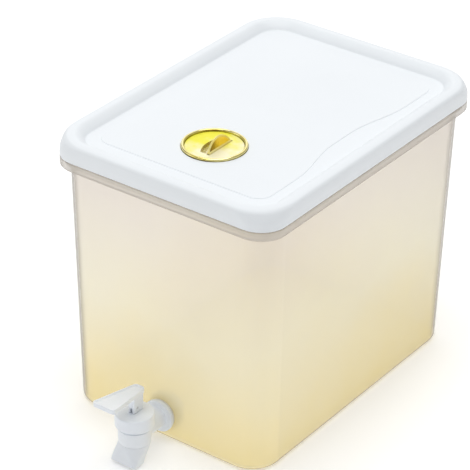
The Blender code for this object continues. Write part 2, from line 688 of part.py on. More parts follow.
def make_tap_collar(tap):
    inner = HOUSING_NECK_RADIUS + SEAT_GAP
    hole = STEM_RADIUS + SLIDE_GAP
    profile = ((hole, COLLAR_HEAD), (COLLAR_RADIUS - COLLAR_ROUND, COLLAR_HEAD),
               (COLLAR_RADIUS, COLLAR_HEAD - COLLAR_ROUND), (COLLAR_RADIUS, COLLAR_FOOT + COLLAR_ROUND),
               (COLLAR_RADIUS - COLLAR_ROUND / 2, COLLAR_FOOT), (inner, COLLAR_FOOT), (inner, COLLAR_CEILING),
               (hole, COLLAR_CEILING))
    place(turned("tap_bonnet", profile, ROUND_STEPS, closed=True), white_tap, tap)
    seal_foot = HOUSING_TOP + SEAT_GAP
    seal = hoop("tap_bonnet_seal", CHAMBER_RADIUS + SEAT_GAP, HOUSING_NECK_RADIUS - SEAT_GAP, seal_foot,
                seal_foot + COLLAR_SEAL_THICKNESS, ROUND_STEPS)
    place(seal, silicone, tap)


def spout_ring(share, inset):
    # A round section at the top passes into the mouth's rounded rectangle, further forward and lower.
    ease = share * share * (3 - 2 * share)
    forward = MOUTH_FORWARD * (ease + share) / 2
    top = HOUSING_FOOT - SEAT_GAP
    round_half = HOUSING_RADIUS - HOUSING_TAPER
    half_x = round_half + (MOUTH_HALF_WIDTH - round_half) * ease - inset
    half_y = round_half + (MOUTH_HALF_DEPTH - round_half) * ease - inset
    corner = round_half + (MOUTH_CORNER - round_half) * ease - inset
    z = top + (MOUTH_HEIGHT - top) * share
    return ring(half_x, half_y, max(corner, MOUTH_CORNER / 4), z, -forward)


def make_tap_spout(tap):
    top = HOUSING_FOOT - SEAT_GAP
    socket_radius = OUTLET_STUB_RADIUS + SEAT_GAP
    socket_foot = HOUSING_FOOT - OUTLET_STUB_LENGTH - SEAT_GAP
    rings = [ring(socket_radius, socket_radius, socket_radius, socket_foot),
             ring(socket_radius, socket_radius, socket_radius, top)]
    rings += [spout_ring(share, 0.0) for share in SPOUT_SHARES]
    inner_shares = [share for share in reversed(SPOUT_SHARES) if share > SPOUT_SHARES[2]]
    rings += [spout_ring(share, SPOUT_WALL) for share in inner_shares]
    place(loft("tap_spout", rings, closed=True), white_tap, tap)


def make_valve(tap, stem_axis):
    plug_foot = CHAMBER_FLOOR + SEAT_GAP
    plug_top = plug_foot + PLUG_DISC_THICKNESS
    socket = STEM_SPIGOT_RADIUS + SEAT_GAP
    socket_floor = plug_top - STEM_SPIGOT_LENGTH - SEAT_GAP
    cone = OUTLET_RADIUS - SLIDE_GAP
    profile = ((0.0, socket_floor), (socket, socket_floor), (socket, plug_top), (PLUG_DISC_RADIUS, plug_top),
               (PLUG_DISC_RADIUS, plug_foot), (cone, plug_foot),
               (cone * PLUG_CONE_SHARE, plug_foot - PLUG_CONE_LENGTH), (0.0, plug_foot - PLUG_CONE_LENGTH))
    place(turned("tap_plug", profile, SMALL_STEPS), silicone, stem_axis)

    flange_foot = plug_top + SEAT_GAP
    flange_top = flange_foot + STEM_FLANGE_THICKNESS
    head = LEVER_PIN_HEIGHT + STEM_HEAD
    spigot_foot = plug_top - STEM_SPIGOT_LENGTH
    profile = ((0.0, head), (STEM_RADIUS, head), (STEM_RADIUS, flange_top), (STEM_FLANGE_RADIUS, flange_top),
               (STEM_FLANGE_RADIUS, flange_foot), (STEM_SPIGOT_RADIUS, flange_foot),
               (STEM_SPIGOT_RADIUS, spigot_foot), (0.0, spigot_foot))
    stem = place(turned("tap_stem", profile, SMALL_STEPS), white_tap, stem_axis)
    # The flats reach below the lowest point that the lever's foot swings through.
    flat_foot = LEVER_PIN_HEIGHT - math.hypot(STALK_FRONT, LEVER_PIN_RISE) - SEAT_GAP
    flat_top = head + CUT_OVERRUN
    reach = STEM_RADIUS + CUT_OVERRUN
    for low, high in ((-reach, -TANG_HALF_THICKNESS), (TANG_HALF_THICKNESS, reach)):
        flat = block("stem_flat_cutter", (low, -reach, flat_foot), (high, reach, flat_top))
        boolean(stem, "DIFFERENCE", place_cutter(flat, stem_axis))
    across = (0.0, math.pi / 2, 0.0)
    hole = rod("stem_pin_cutter", LEVER_PIN_RADIUS + PIN_PLAY, -reach, reach, SMALL_STEPS)
    boolean(stem, "DIFFERENCE", place_cutter(hole, stem_axis, (0.0, 0.0, LEVER_PIN_HEIGHT), across))
    pin_half = STALK_WIDTH / 2 - SEAT_GAP
    pin = rod("tap_lever_pin", LEVER_PIN_RADIUS, -pin_half, pin_half, SMALL_STEPS)
    place(pin, steel, stem_axis, (0.0, 0.0, LEVER_PIN_HEIGHT), across)
    make_spring(tap, flange_top + SEAT_GAP + SPRING_WIRE, COLLAR_CEILING - SEAT_GAP - SPRING_WIRE)


def make_spring(tap, foot, head):
    # The end turns close up, so the coil sits flat on the stem's flange and under the collar.
    curve = bpy.data.curves.new("tap_spring", "CURVE")
    curve.dimensions = "3D"
    curve.bevel_depth = SPRING_WIRE
    curve.bevel_resolution = 1
    curve.use_fill_caps = True
    count = SPRING_TURNS * SPRING_TURN_POINTS + 1
    spline = curve.splines.new("POLY")
    spline.points.add(count - 1)
    pitch_share = (2 * SPRING_WIRE + SPRING_GAP) / (head - foot)
    least_gap = head - foot
    heights = []
    for index in range(count):
        turn = index / SPRING_TURN_POINTS
        middle = (turn - 1) / (SPRING_TURNS - 2)
        share = pitch_share * turn
        if turn > 1:
            share = pitch_share + (1 - 2 * pitch_share) * min(middle, 1.0)
        if turn > SPRING_TURNS - 1:
            share = 1 - pitch_share * (SPRING_TURNS - turn)
        angle = 2 * math.pi * turn
        z = foot + (head - foot) * share
        heights.append(z)
        spline.points[index].co = (SPRING_RADIUS * math.cos(angle), SPRING_RADIUS * math.sin(angle), z, 1.0)
    for lower, upper in zip(heights, heights[SPRING_TURN_POINTS:]):
        least_gap = min(least_gap, upper - lower - 2 * SPRING_WIRE)
    print(f"spring: least gap between turns {least_gap * 1000:.2f} mm")
    place(bpy.data.objects.new("tap_spring", curve), steel, tap)


def paddle_ring(share, inset, foot, head):
    # Cross-section of the paddle, square to its length: wider and higher towards the tip
    width = PADDLE_NEAR_WIDTH + (PADDLE_TIP_WIDTH - PADDLE_NEAR_WIDTH) * share
    rise = PADDLE_RISE + (PADDLE_TIP_RISE - PADDLE_RISE) * share
    y = STALK_BACK - (STALK_BACK + PADDLE_TIP_REACH) * share
    half = width / 2 - inset
    low = rise - foot
    high = rise - head
    corner = min(PADDLE_CORNER, (high - low) / 3)
    narrow = half - corner
    return [(-narrow, y, low), (narrow, y, low), (half, y, low + corner), (half, y, high - corner),
            (narrow, y, high), (-narrow, y, high), (-half, y, high - corner), (-half, y, low + corner)]


def make_lever(lever_axis):
    rings = [paddle_ring(share, 0.0, PADDLE_THICKNESS, 0.0) for share in PADDLE_SHARES]
    rings.append(paddle_ring(1.0, PADDLE_CORNER, PADDLE_THICKNESS, PADDLE_CORNER / 3))
    paddle = place(loft("tap_lever", rings), white_tap, lever_axis)
    frame_share = PADDLE_FRAME / (STALK_BACK + PADDLE_TIP_REACH)
    recess = loft("lever_recess_cutter", [paddle_ring(share, PADDLE_FRAME, PADDLE_RECESS, -CUT_OVERRUN)
                                          for share in (2 * frame_share, 1 - frame_share)])
    boolean(paddle, "DIFFERENCE", place_cutter(recess, lever_axis))
    half = STALK_WIDTH / 2
    stalk = block("lever_stalk_form", (-half, -STALK_FRONT, -LEVER_PIN_RISE),
                  (half, STALK_BACK - PADDLE_CORNER / 3, PADDLE_RISE - PADDLE_THICKNESS / 2))
    boolean(paddle, "UNION", place_cutter(stalk, lever_axis))
    slot_half = TANG_HALF_THICKNESS + PIN_PLAY
    slot_top = STEM_HEAD + STALK_SLOT_ROOM
    slot = block("lever_slot_cutter", (-slot_half, -STALK_FRONT - CUT_OVERRUN, -LEVER_PIN_RISE - CUT_OVERRUN),
                 (slot_half, STALK_BACK + CUT_OVERRUN, slot_top))
    boolean(paddle, "DIFFERENCE", place_cutter(slot, lever_axis))
    hole_half = half + CUT_OVERRUN
    hole = rod("lever_pin_cutter", LEVER_PIN_RADIUS + PIN_PLAY, -hole_half, hole_half, SMALL_STEPS)
    boolean(paddle, "DIFFERENCE", place_cutter(hole, lever_axis, turn=(0.0, math.pi / 2, 0.0)))


lid_seat = axis_empty("lid_seat", (0.0, 0.0, LID_EDGE))
vent_seat = axis_empty("vent_seat", (VENT_SIDE, -VENT_FORWARD, PANEL_TOP), lid_seat)
tab_hinge = axis_empty("tab_hinge", (TAB_HINGE_SIDE, 0.0, VENT_FACE_RISE - TAB_HINGE_DEPTH), vent_seat)
tab_hinge.rotation_euler = (0.0, math.radians(TAB_OPEN_DEGREES), 0.0)
tap_axis = axis_empty("tap_axis", (0.0, front_face(TAP_HEIGHT) - TAP_REACH, 0.0))
lever_hinge = axis_empty("lever_hinge", (0.0, 0.0, LEVER_PIN_HEIGHT), tap_axis)

make_tub()
make_lid(lid_seat)
make_lid_seal()
make_vent_ring(vent_seat)
make_vent_body(vent_seat)
make_vent_fixings(vent_seat)
make_vent_tab(tab_hinge)
make_tap_washers()
make_tap_body(tap_axis)
make_tap_nut(tap_axis)
make_tap_collar(tap_axis)
make_tap_spout(tap_axis)
make_valve(tap_axis, tap_axis)
make_lever(lever_hinge)

# Cut and joined pieces keep their flat faces flat under smooth shading.
for piece in dispenser.objects:
    if any(modifier.type == "BOOLEAN" for modifier in piece.modifiers):
        normals = piece.modifiers.new("Normals", "WEIGHTED_NORMAL")
        normals.weight = 100
        normals.keep_sharp = True
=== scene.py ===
import json
import math

import bmesh
import bpy
from mathutils import Matrix, Vector


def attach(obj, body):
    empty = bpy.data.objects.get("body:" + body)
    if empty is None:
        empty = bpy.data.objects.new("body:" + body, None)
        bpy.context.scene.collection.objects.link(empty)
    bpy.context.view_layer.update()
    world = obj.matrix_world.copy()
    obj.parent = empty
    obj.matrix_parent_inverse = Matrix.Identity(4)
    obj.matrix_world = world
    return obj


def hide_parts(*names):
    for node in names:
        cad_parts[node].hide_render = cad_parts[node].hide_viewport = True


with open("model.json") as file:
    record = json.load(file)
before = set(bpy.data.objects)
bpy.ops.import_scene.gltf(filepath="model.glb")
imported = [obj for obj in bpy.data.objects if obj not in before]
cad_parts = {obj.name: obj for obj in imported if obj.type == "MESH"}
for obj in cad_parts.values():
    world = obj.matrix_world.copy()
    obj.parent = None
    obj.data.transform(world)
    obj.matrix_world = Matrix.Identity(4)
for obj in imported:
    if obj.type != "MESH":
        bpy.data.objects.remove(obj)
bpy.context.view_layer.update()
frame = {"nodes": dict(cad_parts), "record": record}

mm = 0.001
mergeGap = 0.004 * mm
cornerSteps = 10  # faces round each corner of a ring


# small helpers for working in edit mode

def objectMode():
    if bpy.context.object and bpy.context.object.mode != "OBJECT":
        bpy.ops.object.mode_set(mode="OBJECT")


def deselectAll():
    objectMode()
    bpy.ops.object.select_all(action="DESELECT")


def pick(*pieces):
    deselectAll()
    for piece in pieces:
        piece.select_set(True)
    bpy.context.view_layer.objects.active = pieces[0]


def clearSelection(mesh):
    for part in (mesh.verts, mesh.edges, mesh.faces):
        for item in part:
            item.select_set(False)


def selectFaces(piece, test):
    # test gets a face centre and normal; the piece is in edit mode
    mesh = bmesh.from_edit_mesh(piece.data)
    clearSelection(mesh)
    for face in mesh.faces:
        if test(face.calc_center_median(), face.normal):
            face.select_set(True)
    bmesh.update_edit_mesh(piece.data)


def selectEdges(piece, test):
    # test gets both ends of an edge
    mesh = bmesh.from_edit_mesh(piece.data)
    clearSelection(mesh)
    for edge in mesh.edges:
        if test(edge.verts[0].co, edge.verts[1].co):
            edge.select_set(True)
    bmesh.update_edit_mesh(piece.data)


def editMode(piece, kind="VERT"):
    pick(piece)
    bpy.ops.object.mode_set(mode="EDIT")
    bpy.ops.mesh.select_mode(type=kind)


def applyModifiers(piece):
    pick(piece)
    for modifier in list(piece.modifiers):
        bpy.ops.object.modifier_apply(modifier=modifier.name)


def settle(piece):
    # place goes into the mesh, so the object ends at the origin
    pick(piece)
    bpy.ops.object.transform_apply(location=True, rotation=True, scale=True)


def faceOutward(piece):
    editMode(piece)
    bpy.ops.mesh.select_all(action="SELECT")
    bpy.ops.mesh.remove_doubles(threshold=mergeGap)
    bpy.ops.mesh.normals_make_consistent(inside=False)
    objectMode()


def smooth(piece, degrees=30):
    pick(piece)
    bpy.ops.object.shade_smooth_by_angle(angle=math.radians(degrees))
    modifier = piece.modifiers.new("Flat faces first", "WEIGHTED_NORMAL")
    modifier.keep_sharp = True
    applyModifiers(piece)


def combine(piece, tool, operation):
    # Boolean with a tool that is then thrown away
    modifier = piece.modifiers.new(operation.title(), "BOOLEAN")
    modifier.operation = operation
    modifier.solver = "EXACT"
    modifier.object = tool
    applyModifiers(piece)
    bpy.data.objects.remove(tool, do_unlink=True)


def bevelAll(piece, width, segments, degrees=32):
    modifier = piece.modifiers.new("Edge round", "BEVEL")
    modifier.width = width
    modifier.segments = segments
    modifier.limit_method = "ANGLE"
    modifier.angle_limit = math.radians(degrees)
    modifier.harden_normals = False
    applyModifiers(piece)


def finishPiece(piece, body, material, nodes=()):
    piece.data.materials.clear()
    piece.data.materials.append(material)
    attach(piece, body)
    if nodes:
        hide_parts(*nodes)


# rounded rectangles drawn as rings, each one extruded from the one before

def ringPoints(loop, cuts=0):
    # a loop is two half widths, corner radius, height and perhaps the middle's y; cuts divide the long sides
    halfX, halfY, radius, z = loop[:4]
    middle = loop[4] if len(loop) > 4 else 0.0
    points = []
    for corner, (signX, signY) in enumerate(((1, 1), (-1, 1), (-1, -1), (1, -1))):
        for step in range(cornerSteps + 1):
            angle = math.pi / 2 * (corner + step / cornerSteps)
            points.append(Vector((signX * (halfX - radius) + radius * math.cos(angle),
                                  signY * (halfY - radius) + radius * math.sin(angle), z)))
        if corner in (1, 3):
            start = points[-1]
            end = Vector((start.x, -start.y, z))
            points += [start.lerp(end, (cut + 1) / (cuts + 1)) for cut in range(cuts)]
    for point in points:
        point.y += middle
    return points


def loftLoops(name, loops, cuts=0, shape=None):
    # a circle is laid on the first ring, extruded ring by ring, and its ends are filled
    rings = [ringPoints(loop, cuts) for loop in loops]
    if shape:
        for index, ring in enumerate(rings):
            shape(index, loops[index], ring)
    deselectAll()
    bpy.ops.mesh.primitive_circle_add(vertices=len(rings[0]), radius=1)
    piece = bpy.context.object
    piece.name = name
    editMode(piece, "EDGE")
    mesh = bmesh.from_edit_mesh(piece.data)
    for vert, point in zip(mesh.verts, rings[0]):
        vert.co = point
    mesh.verts.index_update()
    order = {vert.index: place for place, vert in enumerate(mesh.verts)}
    first = list(order)
    for ring in rings[1:]:
        bpy.ops.mesh.extrude_edges_move()
        mesh = bmesh.from_edit_mesh(piece.data)
        mesh.verts.index_update()
        moved = {}
        for vert in mesh.verts:
            if vert.select:
                others = (edge.other_vert(vert) for edge in vert.link_edges)
                before = next(other for other in others if not other.select)
                moved[vert.index] = order[before.index]
                vert.co = ring[order[before.index]]
        order = moved
        bmesh.update_edit_mesh(piece.data)
    bpy.ops.mesh.edge_face_add()
    mesh = bmesh.from_edit_mesh(piece.data)
    mesh.verts.ensure_lookup_table()
    start = {mesh.verts[index] for index in first}
    clearSelection(mesh)
    for edge in mesh.edges:
        if edge.verts[0] in start and edge.verts[1] in start:
            edge.select_set(True)
    bmesh.update_edit_mesh(piece.data)
    bpy.ops.mesh.edge_face_add()
    objectMode()
    faceOutward(piece)
    return piece


def drawLine(name, start, moves):
    # one vertex, extruded by each move in turn; the piece stays in edit mode, all of it selected
    deselectAll()
    bpy.ops.mesh.primitive_plane_add(size=mm, location=start)
    piece = bpy.context.object
    piece.name = name
    settle(piece)
    editMode(piece)
    bpy.ops.mesh.select_all(action="SELECT")
    bpy.ops.mesh.merge(type="CENTER")
    for move in moves:
        bpy.ops.mesh.extrude_region_move(TRANSFORM_OT_translate={"value": move})
    bpy.ops.mesh.select_all(action="SELECT")
    return piece


def spinShape(name, profile, centre, axis="Z", steps=96, closed=True):
    # a drawn line spun about the axis; profile points are (radius, along)
    if closed:
        profile = list(profile) + [profile[0]]
    along = {"Y": Vector((0, 1, 0)), "Z": Vector((0, 0, 1))}[axis]
    out = {"Y": Vector((0, 0, 1)), "Z": Vector((1, 0, 0))}[axis]
    points = [Vector(centre) + out * radius + along * height for radius, height in profile]
    piece = drawLine(name, points[0], [end - start for start, end in zip(points, points[1:])])
    bpy.ops.mesh.spin(steps=steps, angle=2 * math.pi, center=centre, axis=along)
    objectMode()
    faceOutward(piece)
    return piece


def roundedProfile(points, radius, steps=4, mostShare=0.45):
    # rounds the inner corners of an open run of (radius, along) points, by a share of each side at most
    result = [points[0]]
    for before, corner, after in zip(points, points[1:], points[2:]):
        a, b, c = Vector(before), Vector(corner), Vector(after)
        reach = min(radius, (a - b).length * mostShare, (c - b).length * mostShare)
        start = b + (a - b).normalized() * reach
        end = b + (c - b).normalized() * reach
        for step in range(steps + 1):
            t = step / steps
            result.append(tuple(start * (1 - t) ** 2 + b * 2 * t * (1 - t) + end * t * t))
    result.append(points[-1])
    return result


def addCylinder(name, radius, depth, centre, axis="Z", steps=96):
    turn = {"X": (0, math.pi / 2, 0), "Y": (math.pi / 2, 0, 0), "Z": (0, 0, 0)}[axis]
    deselectAll()
    bpy.ops.mesh.primitive_cylinder_add(vertices=steps, radius=radius, depth=depth, location=centre,
                                        rotation=turn)
    piece = bpy.context.object
    piece.name = name
    settle(piece)
    return piece


def addBlock(name, low, high):
    deselectAll()
    bpy.ops.mesh.primitive_cube_add(size=1, location=(Vector(low) + Vector(high)) / 2)
    piece = bpy.context.object
    piece.name = name
    piece.scale = Vector(high) - Vector(low)
    settle(piece)
    return piece


# materials

def newMaterial(name, **values):
    material = bpy.data.materials.new(name)
    material.use_nodes = True
    shader = material.node_tree.nodes["Principled BSDF"]
    for key, value in values.items():
        shader.inputs[key.replace("_", " ")].default_value = value
    return material, material.node_tree, shader


def node(tree, kind, x=0, y=0, **values):
    made = tree.nodes.new(kind)
    made.location = (x, y)
    for key, value in values.items():
        setattr(made, key, value)
    return made


def put(tree, socket, value):
    # a socket gets a link from another socket, or a plain value
    if isinstance(value, bpy.types.NodeSocket):
        tree.links.new(value, socket)
    else:
        socket.default_value = value


def calculate(tree, operation, *values, x=0, y=0):
    made = node(tree, "ShaderNodeMath", x, y, operation=operation)
    for socket, value in zip(made.inputs, values):
        put(tree, socket, value)
    return made.outputs[0]


def mapRange(tree, value, fromMin, fromMax, toMin=0.0, toMax=1.0, kind="LINEAR", x=0, y=0):
    made = node(tree, "ShaderNodeMapRange", x, y, interpolation_type=kind)
    for key, item in (("Value", value), ("From Min", fromMin), ("From Max", fromMax), ("To Min", toMin),
                      ("To Max", toMax)):
        put(tree, made.inputs[key], item)
    return made.outputs["Result"]


def mixColour(tree, factor, tone, colour, x=0, y=0):
    made = node(tree, "ShaderNodeMix", x, y, data_type="RGBA")
    made.inputs["B"].default_value = (*colour, 1)
    tree.links.new(factor, made.inputs["Factor"])
    tree.links.new(tone, made.inputs["A"])
    return made.outputs["Result"]


def makeMouldGroup():
    # the skin of moulded plastic: soft clouding, a roughness that follows it, and a faint grain as height
    group = bpy.data.node_groups.new("mouldSkin", "ShaderNodeTree")
    group.interface.new_socket(name="Vector", in_out="INPUT", socket_type="NodeSocketVector")
    for name, default in (("Grain Scale", 900.0), ("Cloud Scale", 18.0), ("Roughness", 0.3),
                          ("Roughness Spread", 0.08)):
        socket = group.interface.new_socket(name=name, in_out="INPUT", socket_type="NodeSocketFloat")
        socket.default_value = default
    for name in ("Cloud", "Roughness", "Height"):
        group.interface.new_socket(name=name, in_out="OUTPUT", socket_type="NodeSocketFloat")
    inside = node(group, "NodeGroupInput", -800)
    out = node(group, "NodeGroupOutput", 500)
    cloud = node(group, "ShaderNodeTexNoise", -500, 200)
    cloud.inputs["Detail"].default_value = 3.0
    cloud.inputs["Roughness"].default_value = 0.55
    grain = node(group, "ShaderNodeTexNoise", -500, -200)
    grain.inputs["Detail"].default_value = 2.0
    for noise, scale in ((cloud, "Cloud Scale"), (grain, "Grain Scale")):
        group.links.new(inside.outputs["Vector"], noise.inputs["Vector"])
        group.links.new(inside.outputs[scale], noise.inputs["Scale"])
    centred = calculate(group, "SUBTRACT", cloud.outputs["Fac"], 0.5, x=-300, y=100)
    rough = calculate(group, "MULTIPLY_ADD", centred, inside.outputs["Roughness Spread"],
                      inside.outputs["Roughness"], x=-100, y=100)
    group.links.new(cloud.outputs["Fac"], out.inputs["Cloud"])
    group.links.new(rough, out.inputs["Roughness"])
    group.links.new(grain.outputs["Fac"], out.inputs["Height"])
    return group


mouldSkin = makeMouldGroup()


def addSkin(tree, shader, grain=900.0, clouds=18.0, rough=0.3, spread=0.08, bump=0.03, distance=0.0001):
    # puts the moulded skin on a material and gives back its clouding
    place = node(tree, "ShaderNodeTexCoord", -1100)
    skin = node(tree, "ShaderNodeGroup", -850, node_tree=mouldSkin)
    skin.inputs["Grain Scale"].default_value = grain
    skin.inputs["Cloud Scale"].default_value = clouds
    skin.inputs["Roughness"].default_value = rough
    skin.inputs["Roughness Spread"].default_value = spread
    tree.links.new(place.outputs["Object"], skin.inputs["Vector"])
    tree.links.new(skin.outputs["Roughness"], shader.inputs["Roughness"])
    raised = node(tree, "ShaderNodeBump", -300, -400)
    raised.inputs["Strength"].default_value = bump
    raised.inputs["Distance"].default_value = distance
    tree.links.new(skin.outputs["Height"], raised.inputs["Height"])
    tree.links.new(raised.outputs["Normal"], shader.inputs["Normal"])
    return skin.outputs["Cloud"]


def tint(tree, shader, factor, low, high):
    # the base colour runs from low to high over the middle of the factor
    ramp = node(tree, "ShaderNodeValToRGB", -500, 200)
    for element, colour, position in zip(ramp.color_ramp.elements, (low, high), (0.3, 0.7)):
        element.color = (*colour, 1)
        element.position = position
    tree.links.new(factor, ramp.inputs["Fac"])
    tree.links.new(ramp.outputs["Color"], shader.inputs["Base Color"])


def makeLidWhite():
    look = {"low": (0.860, 0.895, 0.925), "high": (0.880, 0.915, 0.945), "rough": 0.38}
    material, tree, shader = newMaterial("lidWhite", Coat_Weight=0.05, Coat_Roughness=0.2, IOR=1.45)
    cloud = addSkin(tree, shader, grain=1100.0, clouds=9.0, rough=look["rough"], spread=0.10, bump=0.02)
    tint(tree, shader, cloud, look["low"], look["high"])
    return material


def makeTapWhite():
    look = {"low": (0.85, 0.89, 0.945), "high": (0.89, 0.925, 0.97), "rough": 0.34}
    material, tree, shader = newMaterial("tapWhite", Coat_Weight=0.05, IOR=1.47)
    cloud = addSkin(tree, shader, grain=2200.0, clouds=60.0, rough=look["rough"], spread=0.12, bump=0.04,
                    distance=0.00006)
    tint(tree, shader, cloud, look["low"], look["high"])
    return material


def makeClearPlastic():
    # clear, a little milky, warmer and denser towards the foot, densest where the wall is seen edge on; with
    # painted shade at its edges and under the lid's edge, and a painted glow
    look = {"foot": (0.88, 0.76, 0.41), "middle": (0.86, 0.82, 0.67), "head": (0.79, 0.73, 0.69),
            "stops": (0.02, 0.48, 0.95), "height": 219 * mm, "sway": 0.35, "rough": 0.10, "paintedGlow": 0.23,
            "clear": 0.43, "milk": 0.05, "milkRise": (0.1, 0.6), "veil": 0.86, "veilFacing": (0.50, 1.0),
            "edge": (0.24, 0.21, 0.17), "paintedEdgeShadeFacing": (0.49, 0.80)}
    # from and to in millimetres of height, colour, density: the lip, denser and greyer partly as painted
    # shade under the lid's overhang, the dark line at its top, a painted shadow under the lid's edge, and the
    # rim above
    bands = ((203.8, 204.7, (0.53, 0.49, 0.44), 0.58), (211.0, 211.6, (0.38, 0.35, 0.31), 0.70),
             (213.0, 214.2, look["head"], 0.60))
    material, tree, shader = newMaterial("clearPlastic", IOR=1.49, Coat_Weight=0.15, Coat_Roughness=0.03,
                                         Specular_IOR_Level=0.3)
    cloud = addSkin(tree, shader, grain=500.0, clouds=11.0, rough=look["rough"], spread=0.06, bump=0.015,
                    distance=0.0002)
    place = node(tree, "ShaderNodeTexCoord", -1100, 400)
    split = node(tree, "ShaderNodeSeparateXYZ", -850, 400)
    tree.links.new(place.outputs["Object"], split.inputs[0])
    rise = mapRange(tree, split.outputs["Z"], 0.0, look["height"], x=-650, y=400)
    lower = calculate(tree, "SUBTRACT", rise, look["sway"] / 2, x=-450, y=550)
    level = calculate(tree, "MULTIPLY_ADD", cloud, look["sway"], lower, x=-450, y=400)
    ramp = node(tree, "ShaderNodeValToRGB", -250, 400)
    elements = ramp.color_ramp.elements
    elements[0].position = look["stops"][0]
    elements[0].color = (*look["foot"], 1)
    elements[1].position = look["stops"][2]
    elements[1].color = (*look["head"], 1)
    middle = elements.new(look["stops"][1])
    middle.color = (*look["middle"], 1)
    tree.links.new(level, ramp.inputs["Fac"])
    facing = node(tree, "ShaderNodeLayerWeight", -650, -700).outputs["Facing"]
    milk = mapRange(tree, level, *look["milkRise"], look["clear"] + look["milk"], look["clear"],
                    kind="SMOOTHSTEP", x=-450, y=-500)
    cover = mapRange(tree, facing, *look["veilFacing"], milk, look["veil"], kind="SMOOTHSTEP", x=-250, y=-700)
    tone = ramp.outputs["Color"]
    # the lip's grey and the dark line above it are partly painted shade under the lid's edge
    for index, (low, high, colour, density) in enumerate(bands):
        band = mapRange(tree, split.outputs["Z"], low * mm, high * mm, x=200 * index, y=1000)
        tone = mixColour(tree, band, tone, colour, x=200 * index, y=700)
        dense = calculate(tree, "MULTIPLY", band, density, x=200 * index, y=-300)
        cover = calculate(tree, "MAXIMUM", cover, dense, x=200 * index, y=-500)
    # darker colour where the wall is seen edge on: partly the longer path through tinted plastic, partly
    # painted shade standing in for the dark edges refraction gives clear plastic
    thick = mapRange(tree, facing, *look["paintedEdgeShadeFacing"], kind="SMOOTHSTEP", x=-450, y=700)
    tone = mixColour(tree, thick, tone, look["edge"], x=600, y=500)
    tree.links.new(tone, shader.inputs["Base Color"])
    # painted light: the tub glows in its own tone, brightening the inside that the lid keeps lamp light from
    tree.links.new(tone, shader.inputs["Emission Color"])
    shader.inputs["Emission Strength"].default_value = look["paintedGlow"]
    tree.links.new(cover, shader.inputs["Alpha"])
    return material


def makeGold(name, low, high, rough, metal=1.0, paintedLightDrift=None, start=0.0):
    # plated plastic: soft clouding, a fine grain, and perhaps a painted light drift from the low tone to the
    # high one, a painted gradient of reflection and shade across the part
    material, tree, shader = newMaterial(name, Metallic=metal)
    tone = addSkin(tree, shader, grain=1600.0, clouds=70.0, rough=rough, spread=0.08, bump=0.03,
                   distance=0.00005)
    if paintedLightDrift:
        place = node(tree, "ShaderNodeTexCoord", -1100, 400)
        across = node(tree, "ShaderNodeVectorMath", -850, 400, operation="DOT_PRODUCT")
        across.inputs[1].default_value = paintedLightDrift
        tree.links.new(place.outputs["Object"], across.inputs[0])
        shifted = calculate(tree, "ADD", across.outputs["Value"], start, x=-650, y=300)
        tone = calculate(tree, "ADD", shifted, tone, x=-600, y=150)
    tint(tree, shader, tone, low, high)
    return material


def makeSilicone():
    look = {"low": (0.78, 0.78, 0.75), "high": (0.86, 0.86, 0.83)}
    material, tree, shader = newMaterial("milkySilicone", IOR=1.41, Alpha=0.9)
    cloud = addSkin(tree, shader, grain=1500.0, clouds=45.0, rough=0.55, spread=0.12, bump=0.05)
    tint(tree, shader, cloud, look["low"], look["high"])
    return material


def makeSteel():
    look = {"low": (0.50, 0.50, 0.51), "high": (0.68, 0.68, 0.69)}
    material, tree, shader = newMaterial("drawnSteel", Metallic=1.0)
    cloud = addSkin(tree, shader, grain=3000.0, clouds=220.0, rough=0.28, spread=0.2, bump=0.05,
                    distance=0.00003)
    tint(tree, shader, cloud, look["low"], look["high"])
    return material


lidWhite = makeLidWhite()
tapWhite = makeTapWhite()
clearPlastic = makeClearPlastic()
goldPlate = makeGold("goldPlate", (0.90, 0.76, 0.22), (1.0, 0.90, 0.48), rough=0.16)
# the face's drift from deep yellow to pale cream is a painted reflection of bright light across the plate
goldFace = makeGold("goldFace", (0.92, 0.87, 0.05), (1.0, 0.95, 0.66), rough=0.42, metal=0.30,
                    paintedLightDrift=(14.0, -9.0, 0.0), start=-0.61)
# the tab's amber is a painted reflection of darker surroundings in its gold, and its drift to dark brown at
# one end is painted shade in its dish
paintedReflectionTab = makeGold("paintedReflectionTab", (0.12, 0.055, 0.005), (1.0, 0.72, 0.10), rough=0.30,
                     paintedLightDrift=(0.0, 50.0, 0.0), start=3.60)
hingeGold = makeGold("hingeGold", (1.0, 0.80, 0.18), (1.0, 0.92, 0.44), rough=0.30, metal=0.5)
# a dark gold used as painted shade and painted dark reflection on the ring's walls
paintedShadeGold = makeGold("paintedShadeGold", (0.16, 0.10, 0.01), (1.0, 0.92, 0.38), rough=0.26, metal=0.85)
# a duller, darker gold used as painted shade in the vent's recess
paintedRecessShade = makeGold("paintedRecessShade", (0.58, 0.49, 0.24), (0.92, 0.84, 0.58), rough=0.32)
milkySilicone = makeSilicone()
drawnSteel = makeSteel()
finishes = {"white_lid": lidWhite, "white_tap": tapWhite, "clear_plastic": clearPlastic, "gold": goldPlate,
            "silicone": milkySilicone, "steel": drawnSteel}
print("materials made")


# tub

